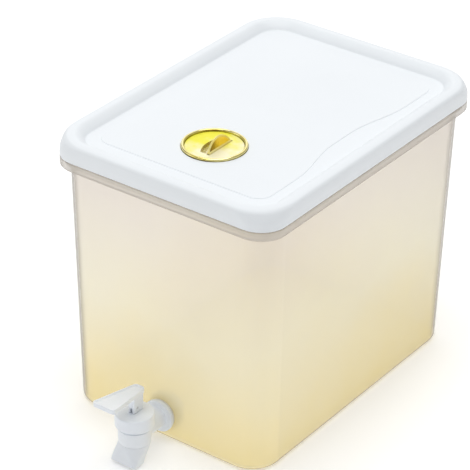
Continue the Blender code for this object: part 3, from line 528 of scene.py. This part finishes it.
tubSizes = {"halfWidth": 94 * mm, "halfLength": 133 * mm, "lean": 4.25 * mm, "corner": 24.6 * mm,
            "wall": 2.0 * mm, "floor": 2.4 * mm, "height": 206.7 * mm, "foot": 5 * mm, "footEase": 0.6 * mm,
            "outerShares": (0.25, 0.5, 0.75, 0.96, 0.985), "innerShares": (0.97, 0.75, 0.5, 0.25, 0.028),
            "innerTop": 204.2 * mm, "rimInset": 2.2 * mm,
            "tapHole": 8.0 * mm, "tapHeight": 22 * mm, "holeY": -129 * mm, "holeCut": 30 * mm,
            # inset and height in millimetres, up the lip and then over the rim to the inside
            "lip": ((3.5, 204.5), (2.5, 204.6), (1.8, 205.0), (1.4, 205.6), (1.3, 206.3), (1.3, 211.7),
                    (1.5, 212.0)),
            "rim": ((2.2, 212.0), (2.2, 218.9), (2.5, 219.26), (3.5, 219.26), (3.8, 218.9), (3.8, 207.2),
                    (4.6, 206.5))}
footSteps = 8
skirtSizes = {"halfWidth": 100 * mm, "halfLength": 139 * mm, "corner": 22.6 * mm, "rimWidth": 17 * mm,
              # in millimetres: the panel's extra corner radius, and the rim's on the way up, as gain, start
              # and height, with the shoulder that eases from one into the other
              "fullness": 11.5, "climbs": ((3.0, -2.2, 7.0), (8.0, 4.8, 7.4)), "shoulder": 2.3,
              "easing": 14.7}


def wallLoop(z, outset=0.0, corner=None):
    lean = tubSizes["lean"] * (1 - z / tubSizes["height"])
    corner = tubSizes["corner"] if corner is None else corner
    return (tubSizes["halfWidth"] - lean + outset, tubSizes["halfLength"] - lean + outset, corner, z)


def clamp(value):
    return min(max(value, 0.0), 1.0)


def growth(inset):
    return skirtSizes["fullness"] * mm * (1 - (1 - clamp(inset / skirtSizes["rimWidth"])) ** 2)


def rimGrowth(inset, height):
    # the rim's corners get rounder from its edge up to its shoulder, then ease into the panel's
    s = skirtSizes
    climb = sum(gain * clamp((height - start) / span) for gain, start, span in s["climbs"])
    share = clamp((inset - s["shoulder"]) / s["easing"])
    return (climb * (1 - share) + s["fullness"] * share) * mm


def skirtLoop(inset, z, grow=0.0):
    s = skirtSizes
    return (s["halfWidth"] - inset, s["halfLength"] - inset, s["corner"] - inset + grow, z)


def footLoops(radius, inset, low):
    # a quarter round from the underside out to the wall
    loops = []
    for step in range(footSteps + 1):
        angle = step / footSteps * math.pi / 2
        inward = inset + radius * (1 - math.sin(angle))
        loops.append(wallLoop(low + radius * (1 - math.cos(angle)), -inward, tubSizes["corner"] - inward))
    return loops


def makeTub():
    # up the outside, over the lip and the rim, and down the inside
    t = tubSizes
    rimCorner = growth(t["rimInset"])
    inner = t["corner"] - t["wall"]
    loops = footLoops(t["foot"], 0.0, 0.0)
    loops.append(wallLoop(t["foot"] + t["footEase"]))
    loops += [wallLoop(t["height"] * share) for share in t["outerShares"]]
    loops += [skirtLoop(inset * mm, height * mm) for inset, height in t["lip"]]
    loops += [skirtLoop(inset * mm, height * mm, rimCorner) for inset, height in t["rim"]]
    loops.append(wallLoop(t["innerTop"], -t["wall"], inner))
    loops += [wallLoop(t["height"] * share, -t["wall"], inner) for share in t["innerShares"]]
    loops += reversed(footLoops(t["foot"] - t["wall"], t["wall"], t["floor"]))
    tub = loftLoops("tubShell", loops)
    hole = addCylinder("holeTool", t["tapHole"], t["holeCut"], (0, t["holeY"], t["tapHeight"]), "Y")
    combine(tub, hole, "DIFFERENCE")
    smooth(tub)
    finishPiece(tub, "tub", clearPlastic, ["tub"])


makeTub()
print("tub made")


# lid

lidSizes = {"edge": 214.5 * mm, "panelTop": 222.606 * mm, "raise": 0.6 * mm,
            "plateHalfX": 75.7 * mm, "plateHalfY": 112.3 * mm, "plateCorner": 12.5 * mm,
            "plateEdge": 0.7 * mm,
            # the plate's rings, as shares of its edge's width inward and of its rise downward
            "plateRings": ((1, 0), (0.35, 0.35), (0, 1)),
            "waveDepth": 9 * mm, "waveFlat": 12 * mm, "waveReach": 70 * mm, "cuts": 31,
            "vent": (0, -67 * mm), "pocket": 25.0 * mm, "pocketDepth": 1.8 * mm, "pocketCut": 4 * mm,
            "boss": 27.0 * mm, "bossDepth": 3.8 * mm, "bossHeight": 2.3 * mm, "hole": 17.9 * mm,
            "holeCut": 20 * mm,
            "liningInset": 1.8, "liningGrowth": 2.0 * mm,
            # inset and height in millimetres: the rim from the panel to its edge, then the lining
            "rim": ((20.0, 7.506), (17.8, 7.506), (16.7, 7.53), (16.1, 7.64), (15.7, 7.87), (15.35, 8.25),
                    (14.9, 8.85), (14.3, 9.55), (13.5, 10.3), (12.6, 11.03), (11.6, 11.75), (10.7, 12.34),
                    (9.9, 12.82), (9.1, 13.2), (8.4, 13.42), (7.7, 13.5), (6.8, 13.47), (5.8, 13.38),
                    (4.8, 13.25), (3.8, 13.09), (3.1, 12.96), (2.5, 12.8), (1.95, 12.55), (1.5, 12.23),
                    (1.12, 11.84), (0.82, 11.4), (0.6, 10.92), (0.46, 10.4), (0.4, 9.85), (0.36, 8.6),
                    (0.36, 7.4), (0.4, 6.2), (0.47, 5.0), (0.57, 3.8), (0.7, 2.6), (0.84, 1.4), (0.98, 0.2),
                    (1.1, -0.9), (1.18, -1.6), (1.32, -2.0), (1.5, -2.2)),
            "lining": ((1.95, -2.2), (1.8, -1.2), (1.8, 3.66), (1.87, 4.92), (2.01, 5.95), (2.29, 6.61),
                       (2.68, 6.94), (3.27, 7.51), (3.96, 8.24), (4.5, 9.23), (4.93, 10.5), (5.3, 11.26),
                       (5.91, 11.56), (7.46, 11.7), (8.63, 11.57), (9.67, 10.98), (11.28, 9.33),
                       (12.33, 8.23), (13.33, 7.28), (14.37, 6.51), (15.56, 5.96), (16.85, 5.73),
                       (18.18, 5.71))}


def waveAt(y):
    s = lidSizes
    share = clamp((s["waveReach"] - abs(y)) / (s["waveReach"] - s["waveFlat"]))
    return s["waveDepth"] * share * share * (3 - 2 * share)


def pullWave(index, loop, points):
    # the plate's own rings come first and get the wave on both long sides
    if index >= len(lidSizes["plateRings"]):
        return
    for point in points:
        if abs(abs(point.x) - loop[0]) < 0.01 * mm:
            point.x -= math.copysign(waveAt(point.y), point.x)


def makeLid():
    s = lidSizes
    loops = []
    for inward, down in s["plateRings"]:
        inset = s["plateEdge"] * inward
        loops.append((s["plateHalfX"] - inset, s["plateHalfY"] - inset, s["plateCorner"] - inset,
                      s["panelTop"] - s["raise"] * down))
    for inset, height in s["rim"]:
        loops.append(skirtLoop(inset * mm, s["edge"] + height * mm, rimGrowth(inset, height)))
    for inset, height in s["lining"]:
        grow = growth((inset - s["liningInset"]) * mm) + s["liningGrowth"]
        loops.append(skirtLoop(inset * mm, s["edge"] + height * mm, grow))
    lid = loftLoops("lidShell", loops, cuts=s["cuts"], shape=pullWave)
    x, y = s["vent"]
    top = s["panelTop"]
    bossMiddle = top - s["bossDepth"] + s["bossHeight"] / 2
    combine(lid, addCylinder("bossTool", s["boss"], s["bossHeight"], (x, y, bossMiddle)), "UNION")
    pocketMiddle = top - s["pocketDepth"] + s["pocketCut"] / 2
    combine(lid, addCylinder("pocketTool", s["pocket"], s["pocketCut"], (x, y, pocketMiddle)), "DIFFERENCE")
    combine(lid, addCylinder("holeTool", s["hole"], s["holeCut"], (x, y, top)), "DIFFERENCE")
    smooth(lid)
    finishPiece(lid, "lid", lidWhite, ["lid"])


makeLid()
print("lid made")


# air vent

ventSizes = {"x": 0.0, "y": -67 * mm, "top": 222.606 * mm, "ring": 24.6 * mm, "ringWidth": 2.3 * mm,
             "ringRise": 2.0 * mm, "ringFoot": -1.5 * mm, "shadeWidth": 0.3 * mm, "shadeHeight": 0.4 * mm,
             "faceRadius": 22.0 * mm, "faceRise": 0.15 * mm, "faceThick": 0.75 * mm, "faceEdge": 0.3 * mm,
             "cup": 17.5 * mm, "cupDepth": 8.8 * mm, "cupWall": 1.6 * mm, "breath": 2.2 * mm,
             "breathX": -0.7 * mm, "breathCut": 8 * mm, "hingeX": 4.3 * mm, "hingeZ": -0.5 * mm,
             "pinHole": 0.62 * mm, "pinLength": 31.4 * mm, "nutRadius": 22.8 * mm, "nutHeight": 4 * mm,
             "nutTop": -4.1 * mm, "nutPlay": 0.4 * mm, "gripInset": 0.6 * mm, "gripEdge": 0.3 * mm,
             "gripDepth": 0.55 * mm}
wellSizes = {"depth": 2.65 * mm, "floor": 1.4 * mm, "hingeRoom": 1.7 * mm, "half": 14.2 * mm,
             "bowHalf": 13.8 * mm, "reach": 2.4 * mm, "bow": 4.4 * mm, "steps": 16,
             "headRoom": 2 * mm, "span": 7.5 * mm, "wallShy": 0.05 * mm, "floorShy": 1.2 * mm}
ribSizes = {"count": 9, "pitch": 2.6 * mm, "half": 0.35 * mm, "length": 3.2 * mm, "gap": 0.3 * mm,
            "sunk": 0.1 * mm, "height": 0.8 * mm, "crest": (0.8, 0.3, 1)}
tabSizes = {"halfLength": 13.4 * mm, "rise": 9.6 * mm, "endRise": 1.6 * mm, "thick": 1.0 * mm, "open": 79,
            "frame": 1.6 * mm, "dish": 0.3 * mm, "edge": 0.12 * mm, "knuckle": 1.3 * mm, "bore": 0.8 * mm,
            "boreCut": 4 * mm, "hingeBand": 1.6 * mm, "faceShy": 0.1 * mm, "halfSteps": 12}


def addFinish(piece, material, test):
    # a second finish on the faces that the test picks
    piece.data.materials.append(material)
    editMode(piece, "FACE")
    selectFaces(piece, test)
    piece.active_material_index = len(piece.data.materials) - 1
    bpy.ops.object.material_slot_assign()
    objectMode()


def makeVentRing():
    v = ventSizes
    bead = v["ringWidth"] / 2
    steps = 12
    profile = []
    for step in range(steps + 1):
        angle = math.pi * (step / steps - 0.5)
        profile.append((v["ring"] - bead + bead * math.sin(angle),
                        v["ringRise"] - bead + bead * math.cos(angle)))
    inner = v["ring"] - v["ringWidth"]
    profile += [(v["ring"], v["ringFoot"]), (inner, v["ringFoot"])]
    ring = spinShape("ventRing", profile, (v["x"], v["y"], v["top"]), steps=120)
    smooth(ring, 40)
    finishPiece(ring, "lid", goldPlate, ["vent_bezel"])

    def deepWall(place, normal):
        out = Vector((place.x - v["x"], place.y - v["y"], 0)).length
        low = out < inner + v["shadeWidth"] or place.z < v["top"] + v["shadeHeight"]
        return abs(normal.z) < 0.3 and low

    # the ring's inner wall and the low band of its outer wall get painted shade: a darker gold standing in
    # for the shadow and dark reflections there
    addFinish(ring, paintedShadeGold, deepWall)


def wellPoints():
    # the recess under the tab: a slot for the hinge on the right and a bowed edge on the left
    w = wellSizes
    right = ventSizes["hingeX"] + w["hingeRoom"]
    step = ventSizes["hingeX"] - w["hingeRoom"]
    points = [(right, -w["half"]), (right, w["half"]), (step, w["half"]), (step, w["bowHalf"])]
    for index in range(w["steps"] + 1):
        share = 1 - 2 * index / w["steps"]
        points.append((-w["reach"] - w["bow"] * (1 - share * share), w["bowHalf"] * share))
    return points + [(step, -w["bowHalf"]), (step, -w["half"])]


def drawPlate(name, points, low, high, origin):
    # a flat outline drawn as a line, filled, and given its thickness
    start = Vector(origin) + Vector((points[0][0], points[0][1], low))
    loop = list(points) + [points[0]]
    piece = drawLine(name, start, [(b[0] - a[0], b[1] - a[1], 0) for a, b in zip(loop, loop[1:])])
    bpy.ops.mesh.remove_doubles(threshold=mergeGap)
    bpy.ops.mesh.select_all(action="SELECT")
    bpy.ops.mesh.edge_face_add()
    bpy.ops.mesh.extrude_region_move(TRANSFORM_OT_translate={"value": (0, 0, high - low)})
    objectMode()
    faceOutward(piece)
    return piece


def makeVentFace():
    v, w = ventSizes, wellSizes
    centre = (v["x"], v["y"], v["top"])
    rise, foot = v["faceRise"], v["faceRise"] - v["faceThick"]
    cupFoot, cupInner = foot - v["cupDepth"], v["cup"] - v["cupWall"]
    well = rise - w["depth"]
    profile = [(0, rise), (v["faceRadius"] - v["faceEdge"], rise), (v["faceRadius"], rise - v["faceEdge"]),
               (v["faceRadius"], foot), (v["cup"], foot), (v["cup"], cupFoot), (cupInner, cupFoot),
               (cupInner, well - w["floor"]), (0, well - w["floor"])]
    face = spinShape("ventFace", profile, centre, steps=120, closed=False)
    recess = drawPlate("recessTool", wellPoints(), well, rise + w["headRoom"], centre)
    combine(face, recess, "DIFFERENCE")
    breath = addCylinder("breathTool", v["breath"], v["breathCut"],
                         (v["x"] + v["breathX"], v["y"], v["top"] - v["breathCut"] / 2), steps=40)
    combine(face, breath, "DIFFERENCE")
    hinge = (v["x"] + v["hingeX"], v["y"], v["top"] + v["hingeZ"])
    combine(face, addCylinder("pinTool", v["pinHole"], v["pinLength"], hinge, "Y", 32), "DIFFERENCE")
    smooth(face, 35)
    finishPiece(face, "lid", goldFace, ["vent_body"])

    def inRecess(place, normal):
        # walls count up to just under the face, and faces that look up only where they lie deep
        shy = w["wallShy"] if normal.z < 0.5 else w["floorShy"]
        deep = v["top"] + well - w["wallShy"] < place.z < v["top"] + rise - shy
        return deep and abs(place.x - v["x"]) < w["span"]

    # the recess walls and floor get painted shade: a duller, darker gold than the face
    addFinish(face, paintedRecessShade, inRecess)


def makeRecessRibs():
    # fine grip ribs on the recess floor, beside the tab, whose left ends follow the recess's bowed edge
    v, w, r = ventSizes, wellSizes, ribSizes
    floor = v["top"] + v["faceRise"] - w["depth"]
    ribs = []
    for index in range(r["count"]):
        away = (index - r["count"] // 2) * r["pitch"]
        reach = w["reach"] + w["bow"] * (1 - (away / w["bowHalf"]) ** 2) - r["gap"]
        left, y = v["x"] - reach, v["y"] + away
        rib = addBlock("recessRib", (left, y - r["half"], floor - r["sunk"]),
                       (left + r["length"], y + r["half"], floor + r["height"]))
        editMode(rib, "FACE")
        selectFaces(rib, lambda centre, normal: normal.z > 0.9)
        bpy.ops.transform.resize(value=r["crest"], center_override=(left + r["length"] / 2, y, floor))
        objectMode()
        ribs.append(rib)
    pick(*ribs)
    bpy.ops.object.join()
    ribs = bpy.context.object
    ribs.name = "recessRibs"
    finishPiece(ribs, "lid", goldFace)


def makeVentTab():
    # drawn flat with the hinge as its y axis, then turned open
    v, t = ventSizes, tabSizes
    bow = t["rise"] - t["endRise"]
    radius = (t["halfLength"] ** 2 + bow ** 2) / (2 * bow)
    face = t["thick"] / 2

    def arc(reach, half):
        turns = [half * (1 - step / t["halfSteps"]) for step in range(2 * t["halfSteps"] + 1)]
        return [(radius - t["rise"] - reach * math.cos(turn), reach * math.sin(turn)) for turn in turns]

    points = [(0, -t["halfLength"]), (0, t["halfLength"])] + arc(radius, math.asin(t["halfLength"] / radius))
    tab = drawPlate("ventTab", points, -face, face, (0, 0, 0))
    inner = radius - t["frame"]
    dish = arc(inner, math.acos((radius - t["rise"] + t["frame"]) / inner))
    combine(tab, drawPlate("dishTool", dish, face - t["dish"], t["thick"], (0, 0, 0)), "DIFFERENCE")
    bevelAll(tab, t["edge"], 2)
    combine(tab, addCylinder("knuckleTool", t["knuckle"], 2 * t["halfLength"], (0, 0, 0), "Y", 40), "UNION")
    bore = addCylinder("boreTool", t["bore"], 2 * t["halfLength"] + t["boreCut"], (0, 0, 0), "Y", 32)
    combine(tab, bore, "DIFFERENCE")
    turn = math.radians(t["open"])
    hinge = Vector((v["x"] + v["hingeX"], v["y"], v["top"] + v["hingeZ"]))
    tab.rotation_euler = (0, turn, 0)
    tab.location = hinge
    settle(tab)
    smooth(tab, 35)
    # the tab's face takes the painted reflection and painted shade; its frame and hinge get the plain gold
    finishPiece(tab, "vent_tab", paintedReflectionTab, ["vent_tab"])
    flat = Vector((math.sin(turn), 0, math.cos(turn)))

    def frameOrHinge(place, normal):
        arm = place - Vector((hinge.x, place.y, hinge.z))
        raised = arm.dot(flat) > face - t["faceShy"]
        return abs(normal.dot(flat)) < 0.6 or arm.length < t["hingeBand"] or raised

    addFinish(tab, hingeGold, frameOrHinge)


def makeVentNut():
    v = ventSizes
    steps = 96
    centre = (v["x"], v["y"], v["top"] + v["nutTop"] - v["nutHeight"])
    inner = v["cup"] + v["nutPlay"]
    outer = v["nutRadius"] - v["gripInset"]
    profile = [(inner, 0), (outer - v["gripEdge"], 0), (outer, v["gripEdge"]), (outer, v["nutHeight"]),
               (inner, v["nutHeight"])]
    nut = spinShape("ventNut", profile, centre, steps=steps)

    def grip(place, normal):
        # two faces raised, two left low, all round the outer wall
        arm = place - Vector((v["x"], v["y"], place.z))
        turn = math.atan2(arm.y, arm.x) / (2 * math.pi / steps)
        return abs(normal.z) < 0.1 and arm.length > outer - v["gripEdge"] and math.floor(turn) % 4 < 2

    editMode(nut, "FACE")
    selectFaces(nut, grip)
    bpy.ops.mesh.extrude_region_shrink_fatten(TRANSFORM_OT_shrink_fatten={"value": v["gripDepth"]})
    objectMode()
    smooth(nut)
    finishPiece(nut, "lid", tapWhite, ["vent_nut"])


makeVentRing()
makeVentFace()
makeRecessRibs()
makeVentTab()
makeVentNut()
print("vent made")


# tap

tapSizes = {"y": -162.002 * mm, "height": 22 * mm, "top": 37.6 * mm, "shoulder": 28.3 * mm, "foot": 16.2 * mm,
            "radius": 12.7 * mm, "taper": 0.4 * mm, "taperHeight": 4 * mm, "edge": 0.35 * mm,
            "neck": 12.0 * mm, "groove": 11.2 * mm, "grooveTop": 30.8 * mm, "chamber": 9.3 * mm,
            "chamberFloor": 17.8 * mm, "barrel": 8.2 * mm, "barrelStart": 9.5 * mm, "barrelEdge": 0.7 * mm,
            "flangeFront": 27.5 * mm, "flangeBack": 30.5 * mm, "flange": 13 * mm, "shank": 7.6 * mm,
            "tail": 49.3 * mm, "bore": 4.1 * mm, "boreStart": 7.3 * mm, "boreCut": 50 * mm,
            "outlet": 4.6 * mm, "stub": 7.2 * mm, "stubLength": 4.5 * mm, "play": 0.3 * mm, "footCut": 8 * mm,
            "collar": 15 * mm, "collarFoot": 30.5 * mm, "collarCeiling": 39.3 * mm, "collarTop": 41.5 * mm,
            "collarEdge": 1.1 * mm, "stemHole": 2.6 * mm}
spoutSizes = {"top": 16.15 * mm, "mouthZ": 2.5 * mm, "roundHalf": 12.3 * mm, "mouthX": 11.8 * mm,
              "mouthY": 6.6 * mm, "mouthCorner": 2.6 * mm, "forward": 8.6 * mm, "wall": 1.8 * mm, "steps": 14,
              "hollowShare": 0.36, "overrun": 2 * mm, "leastCorner": 0.7 * mm, "mostShare": 0.985,
              "socketFoot": 11.4 * mm, "socketCut": 8 * mm}
leverSizes = {"hingeZ": 45.7 * mm, "back": 7.5 * mm, "tipReach": 36.8 * mm, "nearWidth": 9.0 * mm,
              "tipWidth": 20.6 * mm, "rise": 14.9 * mm, "tipRise": 20.1 * mm, "thick": 4.0 * mm,
              "frame": 1.6 * mm, "frameSlope": 0.35 * mm, "corner": 2.8 * mm, "recess": 0.8 * mm,
              "edge": 0.35 * mm, "stalkHalf": 2.85 * mm, "stalkFront": 3.9 * mm, "stalkBack": 0.4 * mm,
              "stalkEdge": 0.45 * mm, "slotHalf": 1.3 * mm, "slotFront": 2.4 * mm, "slotBack": 2 * mm,
              "slotFoot": 6 * mm, "slotTop": 3.5 * mm, "mouthFront": 6 * mm, "mouthBack": 2 * mm,
              "mouthFoot": 7 * mm, "mouthTop": 0.4 * mm, "pinHole": 1.1 * mm, "pinCut": 12 * mm}
nutSizes = {"front": 37.1 * mm, "bore": 8.0 * mm, "boreCut": 20 * mm, "boreMiddle": 5 * mm,
            "flange": 15.5 * mm, "flangeThick": 3 * mm, "flangeEdge": 0.5 * mm, "grip": 12.8 * mm,
            "gripLength": 7.5 * mm, "gripBack": 9 * mm, "gripEdge": 0.8 * mm}
washerSizes = {"bore": 8.0 * mm, "edge": 0.5 * mm,
               # radius, front, back
               "outer": (12.3 * mm, -131.2 * mm, -129.55 * mm),
               "inner": (14.0 * mm, -126.95 * mm, -125.2 * mm)}


def makeTapHousing():
    t = tapSizes
    stubFoot = t["foot"] - t["stubLength"]
    outline = roundedProfile([(t["outlet"], stubFoot), (t["stub"], stubFoot), (t["stub"], t["foot"]),
                              (t["radius"] - t["taper"], t["foot"]),
                              (t["radius"], t["foot"] + t["taperHeight"]), (t["radius"], t["shoulder"]),
                              (t["groove"], t["shoulder"]), (t["groove"], t["grooveTop"]),
                              (t["neck"], t["grooveTop"]), (t["neck"], t["top"]),
                              (t["chamber"], t["top"]), (t["chamber"], t["chamberFloor"]),
                              (t["outlet"], t["chamberFloor"])], t["edge"])
    housing = spinShape("tapHousing", outline, (0, t["y"], 0))
    outline = roundedProfile([(0, t["barrelStart"]), (t["barrel"], t["barrelStart"]),
                              (t["barrel"], t["flangeFront"]), (t["flange"], t["flangeFront"]),
                              (t["flange"], t["flangeBack"]), (t["shank"], t["flangeBack"]),
                              (t["shank"], t["tail"]), (0, t["tail"])], t["barrelEdge"])
    barrel = spinShape("barrelTool", outline, (0, t["y"], t["height"]), axis="Y", closed=False)
    under = addCylinder("footTool", t["radius"] + t["play"], t["footCut"],
                        (0, t["y"], t["foot"] - t["footCut"] / 2))
    combine(barrel, under, "DIFFERENCE")
    combine(housing, barrel, "UNION")
    bore = addCylinder("boreTool", t["bore"], t["boreCut"],
                       (0, t["y"] + t["boreStart"] + t["boreCut"] / 2, t["height"]), "Y", 48)
    combine(housing, bore, "DIFFERENCE")
    smooth(housing, 32)
    finishPiece(housing, "tub", tapWhite, ["tap_body"])


def makeTapCollar():
    t = tapSizes
    inner = t["neck"] + t["play"]
    outline = roundedProfile([(inner, t["collarFoot"]), (t["collar"], t["collarFoot"]),
                              (t["collar"], t["collarTop"]), (t["stemHole"], t["collarTop"])],
                             t["collarEdge"], steps=6)
    outline += [(t["stemHole"], t["collarCeiling"]), (inner, t["collarCeiling"])]
    collar = spinShape("tapCollar", outline, (0, t["y"], 0))
    smooth(collar, 32)
    finishPiece(collar, "tub", tapWhite, ["tap_bonnet"])


def spoutLoop(share, inset=0.0, drop=0.0):
    # round at the top, a flattened mouth at the foot, and bent forward between
    s = spoutSizes
    ease = share * share * (3 - 2 * share)
    forward = s["forward"] * (ease + share) / 2
    halfX = s["roundHalf"] + (s["mouthX"] - s["roundHalf"]) * ease - inset
    halfY = s["roundHalf"] + (s["mouthY"] - s["roundHalf"]) * ease - inset
    corner = s["roundHalf"] + (s["mouthCorner"] - s["roundHalf"]) * ease - inset
    corner = min(max(corner, s["leastCorner"]), halfX * s["mostShare"], halfY * s["mostShare"])
    height = s["top"] + (s["mouthZ"] - s["top"]) * share - drop
    return (halfX, halfY, corner, height, tapSizes["y"] - forward)


def makeTapSpout():
    s, t = spoutSizes, tapSizes
    shares = [index / s["steps"] for index in range(s["steps"] + 1)]
    spout = loftLoops("tapSpout", [spoutLoop(share) for share in shares])
    loops = [spoutLoop(share, s["wall"]) for share in shares if share > s["hollowShare"]]
    loops.append(spoutLoop(1.0, s["wall"], s["overrun"]))
    combine(spout, loftLoops("hollowTool", loops), "DIFFERENCE")
    socket = addCylinder("socketTool", t["stub"] + t["play"], s["socketCut"],
                         (0, t["y"], s["socketFoot"] + s["socketCut"] / 2))
    combine(spout, socket, "DIFFERENCE")
    smooth(spout, 38)
    finishPiece(spout, "tub", tapWhite, ["tap_spout"])


def makeTapLever():
    # a block narrowed at the back and raised at its tip, with a sunk top, on a slotted stalk
    s = leverSizes
    y0, z0 = tapSizes["y"], s["hingeZ"]
    back, tip, top = y0 + s["back"], y0 - s["tipReach"], z0 + s["rise"]
    lever = addBlock("tapLever", (-s["tipWidth"] / 2, tip, top - s["thick"]), (s["tipWidth"] / 2, back, top))
    editMode(lever, "FACE")
    selectFaces(lever, lambda centre, normal: normal.y > 0.9)
    bpy.ops.transform.resize(value=(s["nearWidth"] / s["tipWidth"], 1, 1), center_override=(0, back, top))
    selectFaces(lever, lambda centre, normal: normal.y < -0.9)
    bpy.ops.transform.translate(value=(0, 0, s["tipRise"] - s["rise"]))
    bpy.ops.mesh.select_mode(type="EDGE")
    selectEdges(lever, lambda a, b: abs(a.x - b.x) < 0.1 * mm and abs(a.y - b.y) < 0.1 * mm)
    bpy.ops.mesh.bevel(offset=s["corner"], offset_pct=0, segments=8, profile=0.5, affect="EDGES")
    bpy.ops.mesh.select_mode(type="FACE")
    selectFaces(lever, lambda centre, normal: normal.z > 0.9)
    bpy.ops.mesh.inset(thickness=s["frame"], depth=0)
    bpy.ops.mesh.inset(thickness=s["frameSlope"], depth=0)
    bpy.ops.transform.translate(value=(0, 0, -s["recess"]))
    objectMode()
    faceOutward(lever)
    bevelAll(lever, s["edge"], 3, 28)
    stalk = addBlock("stalkTool", (-s["stalkHalf"], y0 - s["stalkFront"], z0 - s["stalkFront"]),
                     (s["stalkHalf"], back - s["stalkBack"], top - s["thick"] / 2))
    bevelAll(stalk, s["stalkEdge"], 3)
    combine(lever, stalk, "UNION")
    slot = addBlock("slotTool", (-s["slotHalf"], y0 - s["slotFront"], z0 - s["slotFoot"]),
                    (s["slotHalf"], back + s["slotBack"], z0 + s["slotTop"]))
    combine(lever, slot, "DIFFERENCE")
    mouth = addBlock("mouthTool", (-s["slotHalf"], y0 - s["mouthFront"], z0 - s["mouthFoot"]),
                     (s["slotHalf"], y0 - s["mouthBack"], z0 + s["mouthTop"]))
    combine(lever, mouth, "DIFFERENCE")
    combine(lever, addCylinder("pinTool", s["pinHole"], s["pinCut"], (0, y0, z0), "X", 40), "DIFFERENCE")
    smooth(lever)
    finishPiece(lever, "lever", tapWhite, ["tap_lever"])


def makeTapNut():
    n = nutSizes
    front = tapSizes["y"] + n["front"]
    height = tapSizes["height"]
    outline = roundedProfile([(n["bore"], 0), (n["flange"], 0), (n["flange"], n["flangeThick"]),
                              (n["bore"], n["flangeThick"])], n["flangeEdge"])
    nut = spinShape("tapNut", outline, (0, front, height), axis="Y")
    grip = addCylinder("gripTool", n["grip"], n["gripLength"],
                       (0, front + n["gripBack"] - n["gripLength"] / 2, height), "Y", 6)
    bevelAll(grip, n["gripEdge"], 4)
    combine(nut, grip, "UNION")
    bore = addCylinder("boreTool", n["bore"], n["boreCut"], (0, front + n["boreMiddle"], height), "Y", 64)
    combine(nut, bore, "DIFFERENCE")
    smooth(nut, 32)
    finishPiece(nut, "tub", tapWhite, ["tap_nut"])


def makeWasher(name, replaced, sizes):
    radius, front, back = sizes
    bore = washerSizes["bore"]
    corners = [(bore, front), (radius, front), (radius, back), (bore, back)]
    outline = roundedProfile(corners, washerSizes["edge"])
    washer = spinShape(name, outline, (0, 0, tapSizes["height"]), axis="Y", steps=80)
    smooth(washer, 32)
    finishPiece(washer, "tub", milkySilicone, [replaced])


makeTapHousing()
makeTapCollar()
makeTapSpout()
makeTapLever()
makeTapNut()
makeWasher("outerWasher", "tap_outer_gasket", washerSizes["outer"])
makeWasher("innerWasher", "tap_inner_gasket", washerSizes["inner"])
print("tap made")


# the small inner parts stay as the frame has them, with their finishes

for part in frame["record"]["subparts"]:
    carried = frame["nodes"][part["node"]]
    carried.data.materials.clear()
    carried.data.materials.append(finishes[part["material_slot"]])
print("inner parts finished")


# floor, light, camera

stageLook = {"floor": 12.0, "floorTone": (0.94, 0.94, 0.94), "speckle": 0.01, "floorGlow": 0.25,
             "world": 0.39, "aim": (0, 0, 0.1),
             # name, place, size, power
             "lights": (("topLight", (0.1, -0.1, 2.3), 1.8, 27.5), ("backLight", (-1.6, 2.2, 2.0), 3.2, 24),
                        ("keyLight", (-1.9, -1.7, 0.9), 1.4, 5))}


def makeStage():
    deselectAll()
    bpy.ops.mesh.primitive_plane_add(size=stageLook["floor"], location=(0, 0, 0))
    floor = bpy.context.object
    floor.name = "paleFloor"
    material, tree, shader = newMaterial("paleFloor", Roughness=0.9)
    shader.inputs["Specular IOR Level"].default_value = 0.1
    place = node(tree, "ShaderNodeTexCoord", -800)
    speckle = node(tree, "ShaderNodeTexNoise", -600)
    speckle.inputs["Scale"].default_value = 4.0
    tree.links.new(place.outputs["Object"], speckle.inputs["Vector"])
    tone = stageLook["floorTone"]
    tint(tree, shader, speckle.outputs["Fac"], tone, [part + stageLook["speckle"] for part in tone])
    shader.inputs["Emission Color"].default_value = (1, 1, 1, 1)
    shader.inputs["Emission Strength"].default_value = stageLook["floorGlow"]
    floor.data.materials.append(material)
    world = bpy.data.worlds.new("studio")
    bpy.context.scene.world = world
    world.use_nodes = True
    sky = world.node_tree.nodes["Background"]
    sky.inputs["Color"].default_value = (1.0, 1.0, 1.0, 1)
    sky.inputs["Strength"].default_value = stageLook["world"]
    for name, spot, size, power in stageLook["lights"]:
        bpy.ops.object.light_add(type="AREA", location=spot)
        lamp = bpy.context.object
        lamp.name = name
        lamp.data.size = size
        lamp.data.energy = power
        toward = Vector(stageLook["aim"]) - Vector(spot)
        lamp.rotation_euler = toward.to_track_quat("-Z", "Y").to_euler()
    bpy.context.scene.view_settings.view_transform = "Standard"


cameraView = {"azimuth": 35.90, "elevation": 30.37, "roll": 0.96, "lens": 187.2, "distance": 1.8765,
              "across": 23.19 * mm, "down": -8.08 * mm, "aim": (0, 0, 107.23 * mm)}


def makeCamera():
    c = cameraView
    azimuth, elevation, roll = (math.radians(c[key]) for key in ("azimuth", "elevation", "roll"))
    back = Vector((math.sin(azimuth) * math.cos(elevation), -math.cos(azimuth) * math.cos(elevation),
                   math.sin(elevation)))
    right = Vector((math.cos(azimuth), math.sin(azimuth), 0))
    up = back.cross(right)
    right, up = right * math.cos(roll) + up * math.sin(roll), up * math.cos(roll) - right * math.sin(roll)
    spot = Vector(c["aim"]) + back * c["distance"] - right * c["across"] - up * c["down"]
    bpy.ops.object.camera_add()
    camera = bpy.context.object
    camera.name = "photoCamera"
    camera.data.lens = c["lens"]
    camera.data.sensor_width = 36
    turned = Matrix((right, up, back)).transposed().to_4x4()
    turned.translation = spot
    camera.matrix_world = turned
    bpy.context.scene.camera = camera


makeStage()
makeCamera()
print("stage and camera set")
